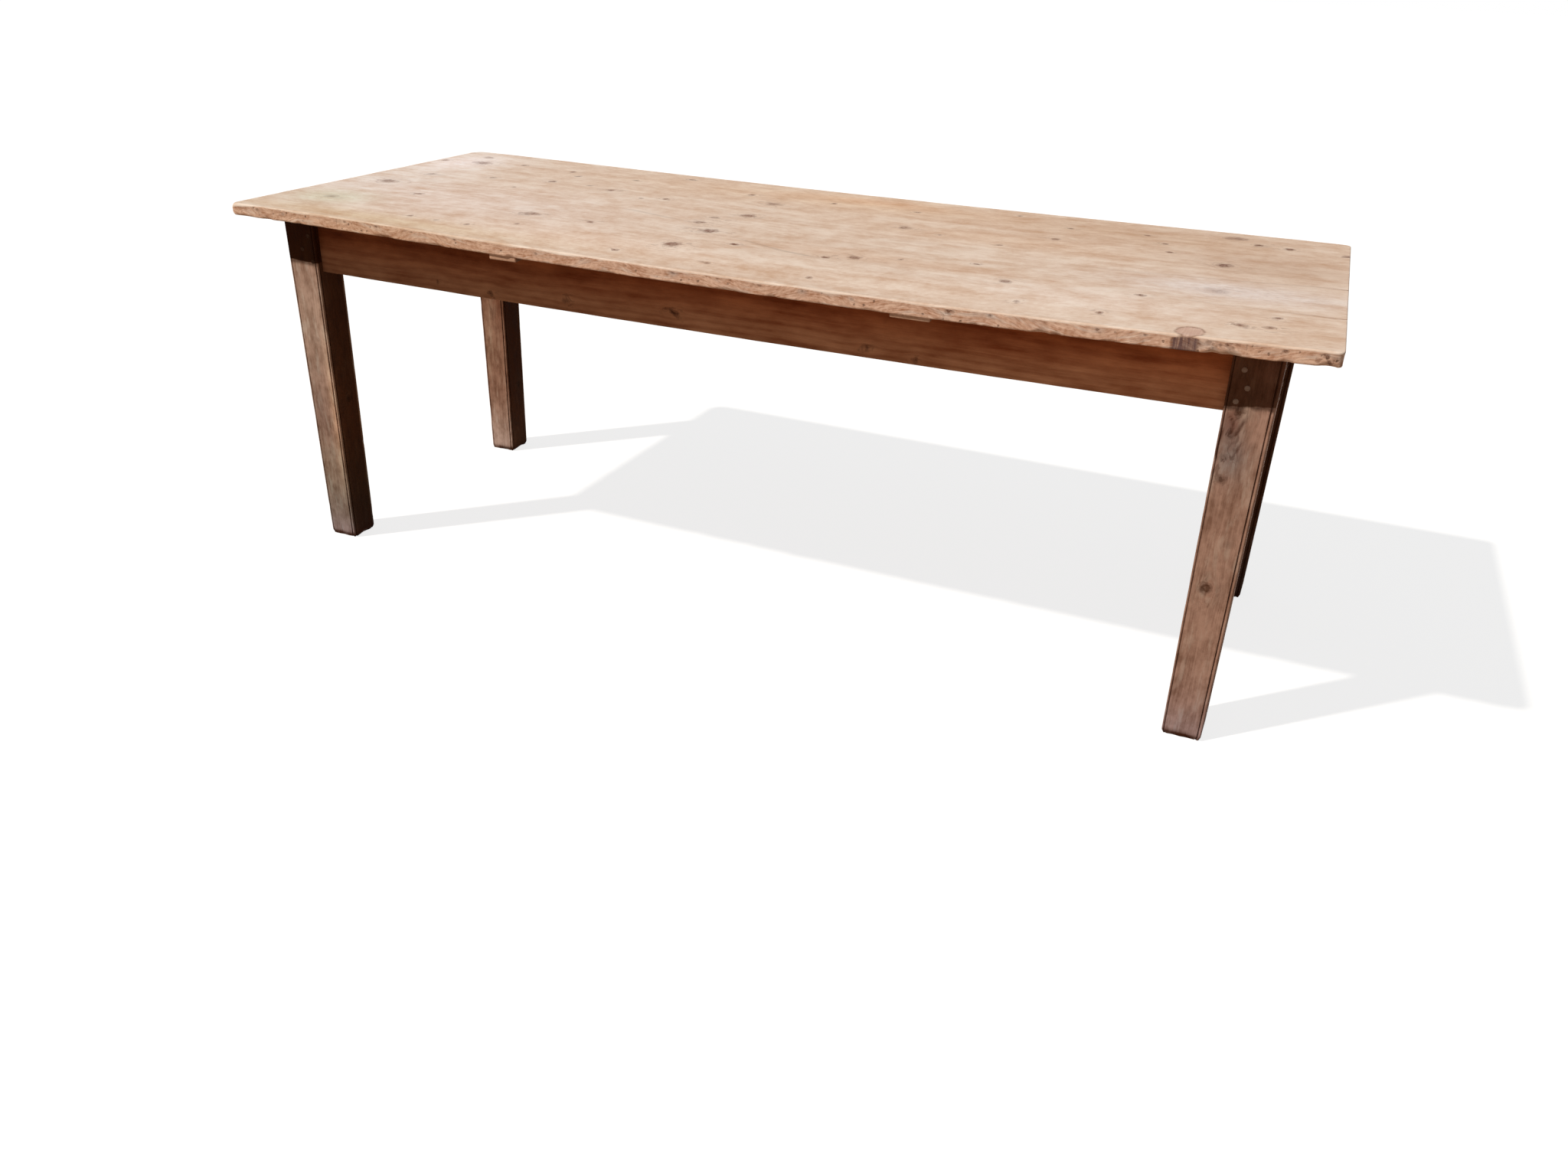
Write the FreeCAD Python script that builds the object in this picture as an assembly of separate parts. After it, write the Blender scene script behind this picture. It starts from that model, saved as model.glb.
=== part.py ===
"""Refectory table in old pine: one wide plank on a pegged frame.

Four tapered legs with beaded corners carry four aprons in blind mortises. Two battens lie in
notches of the long aprons and keep the plank flat, and glue blocks hold it to the frame.
Millimetres. X runs along the table, the front faces -Y, Z is up. The origin is on the floor
under the middle of the plank.
"""
import FreeCAD, Part
import os
from collections import namedtuple
from math import cos, pi, sin, sqrt

Vector = FreeCAD.Vector

# Plank
table_height = 760.0
plank_length = 2172.0
plank_depth = 854.0
plank_thickness = 25.0
left_end_skew = 2.0         # how far the front left corner stands in from the end
right_end_skew = 26.0       # how far the back right corner stands in from the end
front_left_wear = 20.0      # radii of the worn corners, seen from above
back_left_wear = 30.0
front_right_wear = 13.0
back_right_wear = 15.0
plank_arris = 2.5
split_width = 3.0           # drying splits, at their open end
right_splits = ((2.0, 45.0), (-216.0, 70.0))    # place from front to back, and length
left_splits = ((-148.0, 18.0),)

# Legs
end_overhang = 80.3         # from the plank's longest reach to the outside of the legs
side_overhang = 65.5
leg_size = 75.5
end_taper = 10.8            # how far each outer face comes in between top and foot
side_taper = 6.4
bead_width = 8.0
quirk_width = 1.8           # groove that sets the bead off from the face
quirk_depth = 2.4
quirk_flare = 0.4           # how much narrower the groove is at its floor
foot_chamfer = 4.0

# Aprons and their tenons
apron_height = 116.0
apron_thickness = 25.0
apron_recess = 15.0         # from the outer face of the leg to the face of the apron
apron_arris = 2.0
tenon_thickness = 12.0
tenon_lower_shoulder = 8.0
tenon_upper_shoulder = 22.0
tenon_back_wall = 25.0      # wood left behind the long tenon
tenon_crossing_gap = 4.0    # between the end tenon and the long tenon it points at
mortise_clearance = 0.2
mortise_end_gap = 2.0

# Pegs, placed by shares of the tenon: out from its shoulder and down from its upper edge
peg_size = 9.0              # across the flats of an eight-sided peg
peg_depth = 40.0
peg_proud = 0.8
peg_edge = 0.8
peg_clearance = 0.05
peg_shares = ((0.31, 0.21), (0.50, 0.55), (0.23, 0.83))
front_left_peg_shares = ((0.31, 0.21), (0.70, 0.55), (0.23, 0.83))
end_peg_shares = ((0.34, 0.25), (0.48, 0.56), (0.32, 0.85))

# Battens and their nails
left_batten_width = 59.0
right_batten_width = 72.0
left_batten_offset = 415.5  # from the middle of the table
right_batten_offset = 403.0
batten_thickness = 14.0
batten_setback = 4.5        # from the plank's edge to the batten's end
batten_arris = 1.5
notch_clearance = 0.3
nail_shank = 4.0            # square shank, under the head
nail_point = 1.2            # the same, at the point
nail_length = 30.0
nail_head = 9.0
nail_head_crown = 4.0       # flat left in the middle of the hammered head
nail_head_height = 1.8
nail_clearance = 0.05
nail_count = 8              # along each batten, in a zigzag
nail_wall_gap = 40.0        # from the inner face of a long apron to the first nail
nail_stagger = 18.0         # to each side of the batten's centre line

# Glue blocks
block_leg = 34.0
block_flat = 9.0            # width of the block's two narrow edges
block_length = 95.0

# Sizes that follow from these
leg_height = table_height - plank_thickness
outer_x = plank_length / 2 - end_overhang
outer_y = plank_depth / 2 - side_overhang
inner_x = outer_x - leg_size
inner_y = outer_y - leg_size
apron_bottom = leg_height - apron_height
tenon_bottom = apron_bottom + tenon_lower_shoulder
tenon_top = leg_height - tenon_upper_shoulder
tenon_inset = apron_recess + (apron_thickness - tenon_thickness) / 2
batten_bottom = leg_height - batten_thickness
batten_half_length = plank_depth / 2 - batten_setback
nail_reach = outer_y - apron_recess - apron_thickness - nail_wall_gap
outer_block_middle = ((left_batten_offset + right_batten_offset) / 2 + inner_x) / 2

# One pair of opposite aprons, described with the apron along X and its outer face towards +Y
Side = namedtuple("Side", "half_span outer taper tenon_length")
long_side = Side(inner_x, outer_y, side_taper, leg_size - tenon_back_wall)
end_tenon_length = leg_size - tenon_inset - tenon_thickness - tenon_crossing_gap
end_side = Side(inner_y, outer_x, end_taper, end_tenon_length)
outward = Vector(0, 1, 0)


def block(x_range, y_range, z_range):
    """Box between pairs of limits."""
    low = Vector(x_range[0], y_range[0], z_range[0])
    high = Vector(x_range[1], y_range[1], z_range[1])
    size = high - low
    return Part.makeBox(size.x, size.y, size.z, low)


def prism(points, direction):
    """Extrude a closed polygon."""
    return Part.Face(Part.makePolygon(points + points[:1])).extrude(direction)


def flat_sided(lower, upper):
    """Solid between two polygons whose matching edges run parallel."""
    faces = [Part.Face(Part.makePolygon(ring + ring[:1])) for ring in (lower, upper)]
    for index in range(len(lower)):
        after = (index + 1) % len(lower)
        ring = [lower[index], lower[after], upper[after], upper[index], lower[index]]
        faces.append(Part.Face(Part.makePolygon(ring)))
    return Part.Solid(Part.Shell(faces))


def ring(centre, size, sides, start, first_axis, second_axis):
    """Corners of a regular polygon, of this size across its flats, round a centre."""
    corner_radius = size / 2 / cos(pi / sides)
    angles = [start + 2 * pi * index / sides for index in range(sides)]
    return [centre + (first_axis * cos(a) + second_axis * sin(a)) * corner_radius for a in angles]


def mirrored(shape, x_sign, y_sign):
    """Move a shape made in the +X +Y quarter to the quarter with these signs."""
    if x_sign < 0:
        shape = shape.mirror(Vector(), Vector(1, 0, 0))
    if y_sign < 0:
        shape = shape.mirror(Vector(), Vector(0, 1, 0))
    return shape


def turned(shape):
    """Swap X and Y, which takes a long side's layout to an end."""
    return shape.mirror(Vector(), Vector(1, -1, 0))


def rounded_face(corners):
    """Flat face through (point, radius) corners, each rounded by an arc."""
    edges = []
    starts = []
    ends = []
    for index, (point, radius) in enumerate(corners):
        before = (corners[index - 1][0] - point).normalize()
        after = (corners[(index + 1) % len(corners)][0] - point).normalize()
        half_cosine = (before + after).Length / 2
        half_sine = sqrt(1 - half_cosine ** 2)
        reach = radius * half_cosine / half_sine
        bisector = (before + after).normalize()
        middle = point + bisector * (radius / half_sine - radius)
        starts.append(point + before * reach)
        ends.append(point + after * reach)
        edges.append(Part.Arc(starts[-1], middle, ends[-1]).toShape())
    for index, end in enumerate(ends):
        edges.append(Part.makeLine(end, starts[(index + 1) % len(starts)]))
    return Part.Face(Part.Wire(Part.__sortEdges__(edges)))


def end_at(sign, y):
    """Where the plank's left or right end lies at one place from front to back."""
    share = 0.5 + y / plank_depth
    drawn_in = right_end_skew * share if sign > 0 else left_end_skew * (1 - share)
    return sign * (plank_length / 2 - drawn_in)


def drying_split(sign, y, length):
    """Wedge that opens at one end of the plank and runs out along the grain."""
    mouth = end_at(sign, y) + sign * split_width
    root = end_at(sign, y) - sign * length
    outline = [
        Vector(root, y, leg_height),
        Vector(mouth, y - split_width / 2, leg_height),
        Vector(mouth, y + split_width / 2, leg_height),
    ]
    return prism(outline, Vector(0, 0, plank_thickness))


def batten_middle(sign):
    """Where the left or right batten's centre line lies along the table."""
    return right_batten_offset if sign > 0 else -left_batten_offset


def batten_sides(sign, room):
    """Left and right limits of one batten, or of its notch when room is added."""
    half = (right_batten_width if sign > 0 else left_batten_width) / 2 + room
    return batten_middle(sign) - half, batten_middle(sign) + half


def nail_seats(sign):
    """Undersides of the places where one batten's nails go in."""
    step = 2 * nail_reach / (nail_count - 1)
    seats = []
    for index in range(nail_count):
        aside = nail_stagger if index % 2 else -nail_stagger
        seats.append(Vector(batten_middle(sign) + aside, index * step - nail_reach, batten_bottom))
    return seats


def square(centre, size):
    """Level square, with its sides along X and Y."""
    return ring(centre, size, 4, pi / 4, Vector(1, 0, 0), Vector(0, 1, 0))


def nail_shanks(sign, room):
    """Tapering shanks of one batten's nails, or their holes when room is added."""
    rise = Vector(0, 0, nail_length)
    return [
        flat_sided(square(seat, nail_shank + 2 * room), square(seat + rise, nail_point + 2 * room))
        for seat in nail_seats(sign)
    ]


def make_plank():
    half = plank_length / 2
    front = -plank_depth / 2
    back = plank_depth / 2
    outline = [
        (Vector(-half + left_end_skew, front, leg_height), front_left_wear),
        (Vector(half, front, leg_height), front_right_wear),
        (Vector(half - right_end_skew, back, leg_height), back_right_wear),
        (Vector(-half, back, leg_height), back_left_wear),
    ]
    plank = rounded_face(outline).extrude(Vector(0, 0, plank_thickness))
    level = [edge for edge in plank.Edges if edge.BoundBox.ZLength < plank_arris]
    plank = plank.makeFillet(plank_arris, level)
    cuts = [drying_split(1, *split) for split in right_splits]
    cuts += [drying_split(-1, *split) for split in left_splits]
    cuts += nail_shanks(-1, nail_clearance) + nail_shanks(1, nail_clearance)
    return plank.cut(Part.makeCompound(cuts))


def leg_corners(z):
    """Corners of a leg's square at one height, with the signs of the way out, in turn."""
    rise = z / leg_height
    x_out = outer_x - end_taper * (1 - rise)
    y_out = outer_y - side_taper * (1 - rise)
    return [
        (Vector(x_out, y_out, z), 1, 1),
        (Vector(inner_x, y_out, z), -1, 1),
        (Vector(inner_x, inner_y, z), -1, -1),
        (Vector(x_out, inner_y, z), 1, -1),
    ]


def core_section(z):
    """Outline of a leg without its beads: the square with both quirks cut at every corner."""
    quirk = bead_width + quirk_width
    floor = quirk - quirk_flare
    steps = [(0, quirk), (quirk_depth, floor), (quirk_depth, quirk_depth), (floor, quirk_depth), (quirk, 0)]
    points = []
    for corner, x_sign, y_sign in leg_corners(z):
        around = steps if x_sign == y_sign else steps[::-1]
        points += [corner - Vector(x_sign * x, y_sign * y, 0) for x, y in around]
    return points


def leg_beads():
    """Round beads that follow the taper of each corner, a little longer than the leg."""
    radius = bead_width / 2
    beads = []
    for foot, top in zip(leg_corners(-bead_width), leg_corners(leg_height + bead_width)):
        inward = Vector(-foot[1] * radius, -foot[2] * radius, 0)
        run = top[0] - foot[0]
        beads.append(Part.makeCylinder(radius, run.Length, foot[0] + inward, run))
    return beads


def foot_envelope():
    """Tall space with a chamfered lower end that trims a leg to its length."""
    room = end_taper + side_taper
    rings = []
    for z, grow in ((0, -foot_chamfer), (foot_chamfer + room, room), (leg_height, room)):
        rings.append([corner + Vector(x * grow, y * grow, z) for corner, x, y in leg_corners(0)])
    return flat_sided(rings[0], rings[1]).fuse(flat_sided(rings[1], rings[2]))


def peg_seats(side, shares):
    """Inner ends of the pegs at the +X end of a side."""
    seats = []
    for out, down in shares:
        x = side.half_span + out * side.tenon_length
        z = tenon_top - down * (tenon_top - tenon_bottom)
        seats.append(Vector(x, side.outer - peg_depth, z))
    return seats


def octagon(centre, size):
    """Upright eight-sided outline that faces along Y."""
    return ring(centre, size, 8, pi / 8, Vector(1, 0, 0), Vector(0, 0, 1))


def peg_bores(side, shares):
    """Peg holes at the +X end of a side, open at the outer face of the leg."""
    size = peg_size + 2 * peg_clearance
    return [prism(octagon(seat, size), outward * 2 * peg_depth) for seat in peg_seats(side, shares)]


def make_pegs(side, shares):
    """Pegs at the +X end of a side, each a little proud of the leg and eased at its end."""
    pegs = []
    for seat in peg_seats(side, shares):
        face = side.outer - side.taper * (1 - seat.z / leg_height)
        length = face + peg_proud - seat.y
        shoulder = octagon(seat + outward * (length - peg_edge), peg_size)
        end = octagon(seat + outward * length, peg_size - 2 * peg_edge)
        peg = prism(octagon(seat, peg_size), outward * (length - peg_edge))
        pegs.append(peg.fuse(flat_sided(shoulder, end)))
    return Part.makeCompound(pegs)


def tenon_at(side, clearance, extra):
    """Tenon at the +X end of a side, or its mortise when room is added."""
    y_high = side.outer - tenon_inset + clearance
    y_low = side.outer - tenon_inset - tenon_thickness - clearance
    x_range = (side.half_span, side.half_span + side.tenon_length + extra)
    return block(x_range, (y_low, y_high), (tenon_bottom - clearance, tenon_top + clearance))


def make_leg(long_shares):
    """Back right leg. The others are its mirror images."""
    core = flat_sided(core_section(0), core_section(leg_height))
    leg = core.fuse(leg_beads()).common(foot_envelope()).removeSplitter()
    cuts = [
        tenon_at(long_side, mortise_clearance, mortise_end_gap),
        turned(tenon_at(end_side, mortise_clearance, mortise_end_gap)),
    ]
    cuts += peg_bores(long_side, long_shares)
    cuts += [turned(bore) for bore in peg_bores(end_side, end_peg_shares)]
    return leg.cut(Part.makeCompound(cuts))


def make_apron(side, left_shares, right_shares):
    """Apron along X with its outer face towards +Y, a tenon at each end and its peg holes."""
    y_out = side.outer - apron_recess
    y_in = y_out - apron_thickness
    section = [
        Vector(-side.half_span, y_in, leg_height),
        Vector(-side.half_span, y_out, leg_height),
        Vector(-side.half_span, y_out, apron_bottom + apron_arris),
        Vector(-side.half_span, y_out - apron_arris, apron_bottom),
        Vector(-side.half_span, y_in + apron_arris, apron_bottom),
        Vector(-side.half_span, y_in, apron_bottom + apron_arris),
    ]
    rail = prism(section, Vector(2 * side.half_span, 0, 0))
    tenon = tenon_at(side, 0, 0)
    rail = rail.fuse([tenon, mirrored(tenon, -1, 1)]).removeSplitter()
    bores = peg_bores(side, right_shares)
    bores += [mirrored(bore, -1, 1) for bore in peg_bores(side, left_shares)]
    return rail.cut(Part.makeCompound(bores))


def notched(apron):
    """Long apron with the two notches that the battens lie in."""
    notches = [
        block(batten_sides(sign, notch_clearance), (0, plank_depth), (batten_bottom, leg_height))
        for sign in (-1, 1)
    ]
    return apron.cut(Part.makeCompound(notches))


def make_batten(sign):
    left, right = batten_sides(sign, 0)
    section = [
        Vector(left, -batten_half_length, leg_height),
        Vector(right, -batten_half_length, leg_height),
        Vector(right, -batten_half_length, batten_bottom + batten_arris),
        Vector(right - batten_arris, -batten_half_length, batten_bottom),
        Vector(left + batten_arris, -batten_half_length, batten_bottom),
        Vector(left, -batten_half_length, batten_bottom + batten_arris),
    ]
    batten = prism(section, Vector(0, 2 * batten_half_length, 0))
    return batten.cut(Part.makeCompound(nail_shanks(sign, nail_clearance)))


def make_nails(sign):
    """Hand-made nails of one batten, driven up from below."""
    drop = Vector(0, 0, -nail_head_height)
    nails = []
    for seat, shank in zip(nail_seats(sign), nail_shanks(sign, 0)):
        head = flat_sided(square(seat + drop, nail_head_crown), square(seat, nail_head))
        nails.append(head.fuse(shank))
    return Part.makeCompound(nails)


def make_glue_block(side, middle):
    """Block in the angle of an apron and the plank, centred at one place along the apron."""
    wall = side.outer - apron_recess - apron_thickness
    start = middle - block_length / 2
    section = [
        Vector(start, wall, leg_height),
        Vector(start, wall, leg_height - block_leg),
        Vector(start, wall - block_flat, leg_height - block_leg),
        Vector(start, wall - block_leg, leg_height - block_flat),
        Vector(start, wall - block_leg, leg_height),
    ]
    return prism(section, Vector(block_length, 0, 0))


def make_parts():
    """Every piece of the table under its own name."""
    x_sides = {"left": -1, "right": 1}
    y_sides = {"front": -1, "back": 1}
    shares = {(x, y): peg_shares for x in x_sides for y in y_sides}
    shares["left", "front"] = front_left_peg_shares
    parts = {"top_plank": make_plank()}
    for y_name, y_sign in y_sides.items():
        apron = make_apron(long_side, shares["left", y_name], shares["right", y_name])
        parts[y_name + "_apron"] = mirrored(notched(apron), 1, y_sign)
        for x_name, x_sign in x_sides.items():
            corner_shares = shares[x_name, y_name]
            parts[f"{y_name}_{x_name}_leg"] = mirrored(make_leg(corner_shares), x_sign, y_sign)
            pegs = make_pegs(long_side, corner_shares)
            parts[f"{y_name}_apron_{x_name}_pegs"] = mirrored(pegs, x_sign, y_sign)
            glue_block = make_glue_block(long_side, outer_block_middle)
            parts[f"{y_name}_glue_block_{x_name}"] = mirrored(glue_block, x_sign, y_sign)
        parts[y_name + "_glue_block_middle"] = mirrored(make_glue_block(long_side, 0), 1, y_sign)
    for x_name, x_sign in x_sides.items():
        apron = turned(make_apron(end_side, end_peg_shares, end_peg_shares))
        parts[x_name + "_end_apron"] = mirrored(apron, x_sign, 1)
        parts[x_name + "_end_glue_block"] = mirrored(turned(make_glue_block(end_side, 0)), x_sign, 1)
        parts["cross_batten_" + x_name] = make_batten(x_sign)
        parts[x_name + "_batten_nails"] = make_nails(x_sign)
        for y_name, y_sign in y_sides.items():
            pegs = turned(make_pegs(end_side, end_peg_shares))
            parts[f"{x_name}_end_apron_{y_name}_pegs"] = mirrored(pegs, x_sign, y_sign)
    return parts


os.makedirs("parts", exist_ok=True)
for name, shape in make_parts().items():
    shape.exportStep(f"parts/{name}.step")
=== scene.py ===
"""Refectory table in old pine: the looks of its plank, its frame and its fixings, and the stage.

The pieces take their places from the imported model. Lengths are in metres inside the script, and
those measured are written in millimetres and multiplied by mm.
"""

from collections import namedtuple
from math import cos, pi, radians, sin
from types import SimpleNamespace

import bpy
import numpy as np
from bpy.props import FloatProperty, FloatVectorProperty, PointerProperty
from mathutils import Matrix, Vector, noise


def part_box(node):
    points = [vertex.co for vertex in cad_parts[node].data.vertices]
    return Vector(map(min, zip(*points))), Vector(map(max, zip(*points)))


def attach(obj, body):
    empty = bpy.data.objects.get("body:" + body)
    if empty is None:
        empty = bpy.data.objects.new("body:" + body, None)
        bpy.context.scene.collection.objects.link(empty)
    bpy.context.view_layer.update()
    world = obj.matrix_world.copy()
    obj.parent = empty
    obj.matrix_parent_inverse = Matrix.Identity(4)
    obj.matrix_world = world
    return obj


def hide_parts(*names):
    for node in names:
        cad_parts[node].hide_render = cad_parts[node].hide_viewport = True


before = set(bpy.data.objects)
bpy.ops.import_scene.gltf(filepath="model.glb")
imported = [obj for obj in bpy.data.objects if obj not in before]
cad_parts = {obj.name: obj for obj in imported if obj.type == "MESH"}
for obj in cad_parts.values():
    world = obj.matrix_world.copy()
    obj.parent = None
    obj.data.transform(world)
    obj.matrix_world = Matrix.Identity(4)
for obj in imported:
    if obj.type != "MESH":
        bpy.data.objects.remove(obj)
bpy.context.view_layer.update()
mm = 0.001

bl_info = {
    "name": "Refectory table",
    "version": (1, 0, 0),
    "blender": (4, 5, 0),
    "location": "3D View > Sidebar > Refectory",
    "description": "Dresses a pegged pine table: worn plank, beaded legs, aprons, battens and nails",
    "category": "Object",
}

# Knots in the plank's upper face: along, across, radius in mm, and how dark
PLANK_KNOTS = (
    (-960, 282, 20, 0.69), (-982, -49, 19, 0.78), (-116, -148, 17, 0.92), (-121, -289, 17, 0.83),
    (-110, 34, 13, 0.87), (838, 370, 19, 0.55), (849, 92, 15, 0.92),
    (215, 96, 13, 0.78), (221, -218, 12, 0.83), (518, -250, 11, 0.78), (-502, 133, 13, 0.74),
    (-502, -192, 16, 0.69), (-121, 182, 17, 0.6), (-165, -22, 9, 0.64), (-168, -82, 11, 0.69),
    (860, -126, 19, 0.41), (513, 155, 9, 0.69), (-993, 359, 13, 0.55), (-1059, 265, 9, 0.78),
    (-855, 309, 7, 0.78), (-706, 295, 8, 0.91), (-662, 249, 6, 0.72), (-518, 276, 6, 0.78),
    (-419, 370, 7, 0.91), (-210, 260, 8, 0.98), (-11, 265, 6, 0.91), (182, 271, 7, 0.78),
    (518, 282, 6, 0.78), (386, 370, 6, 0.91), (888, 324, 9, 1), (949, 315, 9, 1),
    (673, 298, 6, 0.78), (717, 232, 6, 0.91), (1059, 304, 8, 1), (-960, 83, 11, 0.64),
    (-673, 155, 8, 0.91), (-574, 155, 6, 0.65), (-814, 122, 7, 0.91), (-347, 105, 7, 0.91),
    (-397, 83, 5, 0.65), (-706, 45, 6, 0.65), (298, 67, 5, 0.78), (430, 39, 5, 1),
    (739, 155, 6, 0.91), (-827, -137, 9, 0.91), (-358, -196, 8, 0.98), (-17, -231, 7, 0.98),
    (176, -242, 7, 0.91), (303, -185, 5, 0.78), (436, -148, 5, 0.91), (750, -226, 7, 0.98),
    (976, -264, 7, 0.91), (926, -338, 9, 0.91), (971, -330, 8, 0.85), (-695, -334, 6, 0.78),
    (-629, -338, 5, 0.52), (-555, -340, 6, 0.78), (-469, -289, 5, 0.78), (-199, -367, 6, 0.91),
    (-8, -367, 6, 0.91), (196, -371, 6, 0.78), (568, -356, 6, 0.91), (706, -360, 6, 0.91),
    (-960, -262, 14, 0.46),
)
# Broad tones on the upper face: along, across, reach along and across in mm, colour, strength
PLANK_TONES = (
    (-1000, 150, 170, 420, "#E4D2C3", 0.80), (-700, -150, 380, 190, "#E3CDBE", 0.80),
    (-1010, 260, 90, 120, "#F3DCCF", 0.60), (20, 320, 420, 110, "#D8B493", 0.65),
    (60, 340, 150, 50, "#E0AE86", 0.25), (700, 300, 330, 130, "#C8A78C", 0.80),
    (950, 110, 170, 120, "#C6A78F", 0.85), (400, 90, 300, 70, "#D4B296", 0.60),
    (-960, -260, 90, 70, "#CFCBA9", 0.50), (-760, -390, 360, 45, "#D9BE9C", 0.70),
    (880, -110, 190, 70, "#E2D3CB", 0.70), (680, -290, 240, 70, "#E6D0BF", 0.70),
    (-300, -320, 260, 80, "#E5CBB6", 0.60), (1010, -330, 110, 110, "#D6B79D", 0.50),
    (250, -200, 260, 40, "#D2AE92", 0.50),
)
PLANK_MEAN = "#DBC2AD"
# Curly grain between knots on the upper face: along, across, reach along and across in mm, strength
PLANK_CURL = (
    (-145, -80, 40, 85, 0.55), (200, -235, 80, 22, 0.6), (940, -105, 120, 45, 0.35),
    (-955, 270, 60, 45, 0.5), (880, 340, 90, 40, 0.45), (960, -335, 60, 25, 0.5),
)
# Specks in the front edge: along, depth below the upper face, radius in mm, how dark
EDGE_KNOTS = (
    (-1010, 8, 3, 0.7), (-943, 9, 3, 0.6), (-784, 6, 3, 0.8), (-707, 6, 3.5, 0.8), (-622, 5, 3, 0.8),
    (-520, 7, 3.5, 0.8), (-335, 10, 3, 0.6), (-236, 5, 3, 0.5), (-45, 6, 3.5, 0.9), (44, 5, 3, 0.8),
    (126, 7, 3.5, 0.8), (207, 6, 3, 0.8), (300, 9, 3, 0.6), (472, 6, 7, 1.0), (543, 6, 3, 0.8),
    (634, 5, 3, 0.8), (718, 7, 4, 0.9), (793, 6, 3, 0.8), (918, 8, 4, 0.9), (934, 6, 3, 0.8),
    (1003, 7, 4, 0.9), (1062, 9, 4, 1.0), (1074, 13, 4, 1.0), (1050, 16, 3.5, 0.9), (1068, 18, 3.5, 1.0),
    (1058, 5, 3, 0.8), (878, 12, 4, 0.8), (890, 8, 4, 0.9), (900, 14, 4, 0.8), (908, 10, 3, 0.8),
    (925, 13, 3.5, 0.8),
)
# The heart of the tree, seen as a wandering line on the upper face, in mm
HEART_LINE = (
    (-1090, -20), (-502, -30), (-115, -54), (215, -61), (515, -48), (855, -17), (1060, 2), (1100, 2),
)
# Hairline cracks: points along and across in mm, each with the half width there in mm
CRACKS = (
    ((-378, -41, 0.05), (-345, -44, 1.3), (-250, -70, 1.4), (-205, -80, 0.05)),
    ((-60, -165, 0.05), (-7, -193, 1.4), (80, -234, 1.8), (135, -245, 1.8), (185, -254, 0.05)),
    ((560, -62, 0.05), (660, -58, 0.5), (860, -30, 0.6), (1000, -3, 0.8), (1040, 2, 1.0),
     (1100, 2, 1.0)),
    ((760, -219, 0.05), (840, -218, 0.5), (960, -217, 0.7), (1015, -216, 0.9), (1090, -216, 0.9)),
)
# Branch sawn through at the front edge, in mm. On the upper face: middle along and across, half length
# and half width. On the edge: middle along and half length
BRANCH_TOP = (857, -403, 22, 26)
BRANCH_EDGE = (854, 20)
# Drying splits at the ends of the plank: across and length in mm
RIGHT_SPLITS = ((2, 45), (-216, 70))
LEFT_SPLITS = ((-148, 18),)
# Chips out of the lower front arris: along, half length, depth in mm
FRONT_CHIPS = (
    (-1040, 22, 3.5), (-985, 14, 5), (-905, 10, 4), (-690, 24, 5), (-560, 12, 4), (-395, 9, 5),
    (-180, 18, 4), (62, 26, 4), (150, 10, 5), (330, 14, 3.5), (515, 9, 5), (628, 12, 8), (652, 8, 6),
    (742, 16, 4), (898, 11, 11), (925, 16, 8), (1004, 12, 6), (1066, 15, 10),
)
# Knots in the legs: face, across from the middle of the leg, height, radius in mm, how dark
LEG_KNOTS = {
    "front_right": (
        ("front", -11, 622, 9, 0.9), ("front", -17, 585, 7, 0.45), ("front", -22, 545, 6, 0.5),
        ("front", -20, 507, 8, 0.85), ("front", -9, 306, 10, 0.95), ("front", 12, 392, 6, 0.3),
        ("left", 8, 430, 8, 0.8), ("right", -6, 250, 9, 0.8), ("back", 10, 520, 10, 0.8),
    ),
    "front_left": (
        ("front", 8, 470, 5, 0.35), ("left", -8, 560, 9, 0.8), ("left", 12, 215, 7, 0.7),
        ("right", 5, 330, 8, 0.8), ("back", -9, 410, 9, 0.8),
    ),
    "back_left": (
        ("front", 6, 440, 6, 0.5), ("left", 4, 345, 9, 0.8), ("back", -12, 600, 8, 0.8),
        ("right", 10, 180, 8, 0.7),
    ),
    "back_right": (
        ("front", -6, 380, 8, 0.7), ("right", 9, 520, 9, 0.8), ("back", 3, 270, 10, 0.9),
        ("left", -10, 150, 7, 0.7),
    ),
}
# Broad tones on the legs: across from the middle of the leg and reach, height and reach in mm, colour
LEG_TONES = {
    "front_right": (
        (-22, 18, 600, 28, "#6E4A3C"), (-12, 28, 548, 42, "#7C6458"), (0, 200, 15, 40, "#987969"),
        (27, 16, 692, 58, "#A78371")),
    "front_left": (
        (-14, 24, 300, 100, "#826454"), (27, 10, 310, 150, "#B38A6E"), (0, 200, 510, 190, "#A0836F"),
        (0, 200, 150, 90, "#8A715D"), (0, 200, 60, 70, "#836B59"), (0, 200, 15, 30, "#9C7C6C")),
    "back_left": (
        (0, 200, 270, 170, "#86624D"), (0, 200, 470, 110, "#7E5741"), (0, 200, 30, 80, "#AE8F77"),
        (20, 14, 450, 90, "#805540"), (-6, 14, 495, 40, "#A5785C"), (-16, 16, 330, 80, "#A5856F")),
    # The back right leg's tone is painted shade over the whole leg, which stands in the plank's shadow
    "back_right": ((0, 200, 380, 900, "#4A2C1C"),),
}
LEG_MEAN = "#93705C"
# Painted shade on each leg: share at its top, where the plank's shadow is painted, share on the face
# turned along the table, which is painted as shaded, and how much of that fades beside the front bead,
# height in mm where the painted shadow on the top ends, and the rise of its end from left to right
LEG_PAINTED_SHADE = {
    "front_right": (0.44, 0.50, 0.0, 636, 0.13),
    "front_left": (1.00, 0.84, 0.42, 640, -0.03),
    "back_left": (0.80, 0.73, 0.05, 634, 0.0),
    "back_right": (0.80, 0.60, 0.0, 634, 0.0),
}
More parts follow.
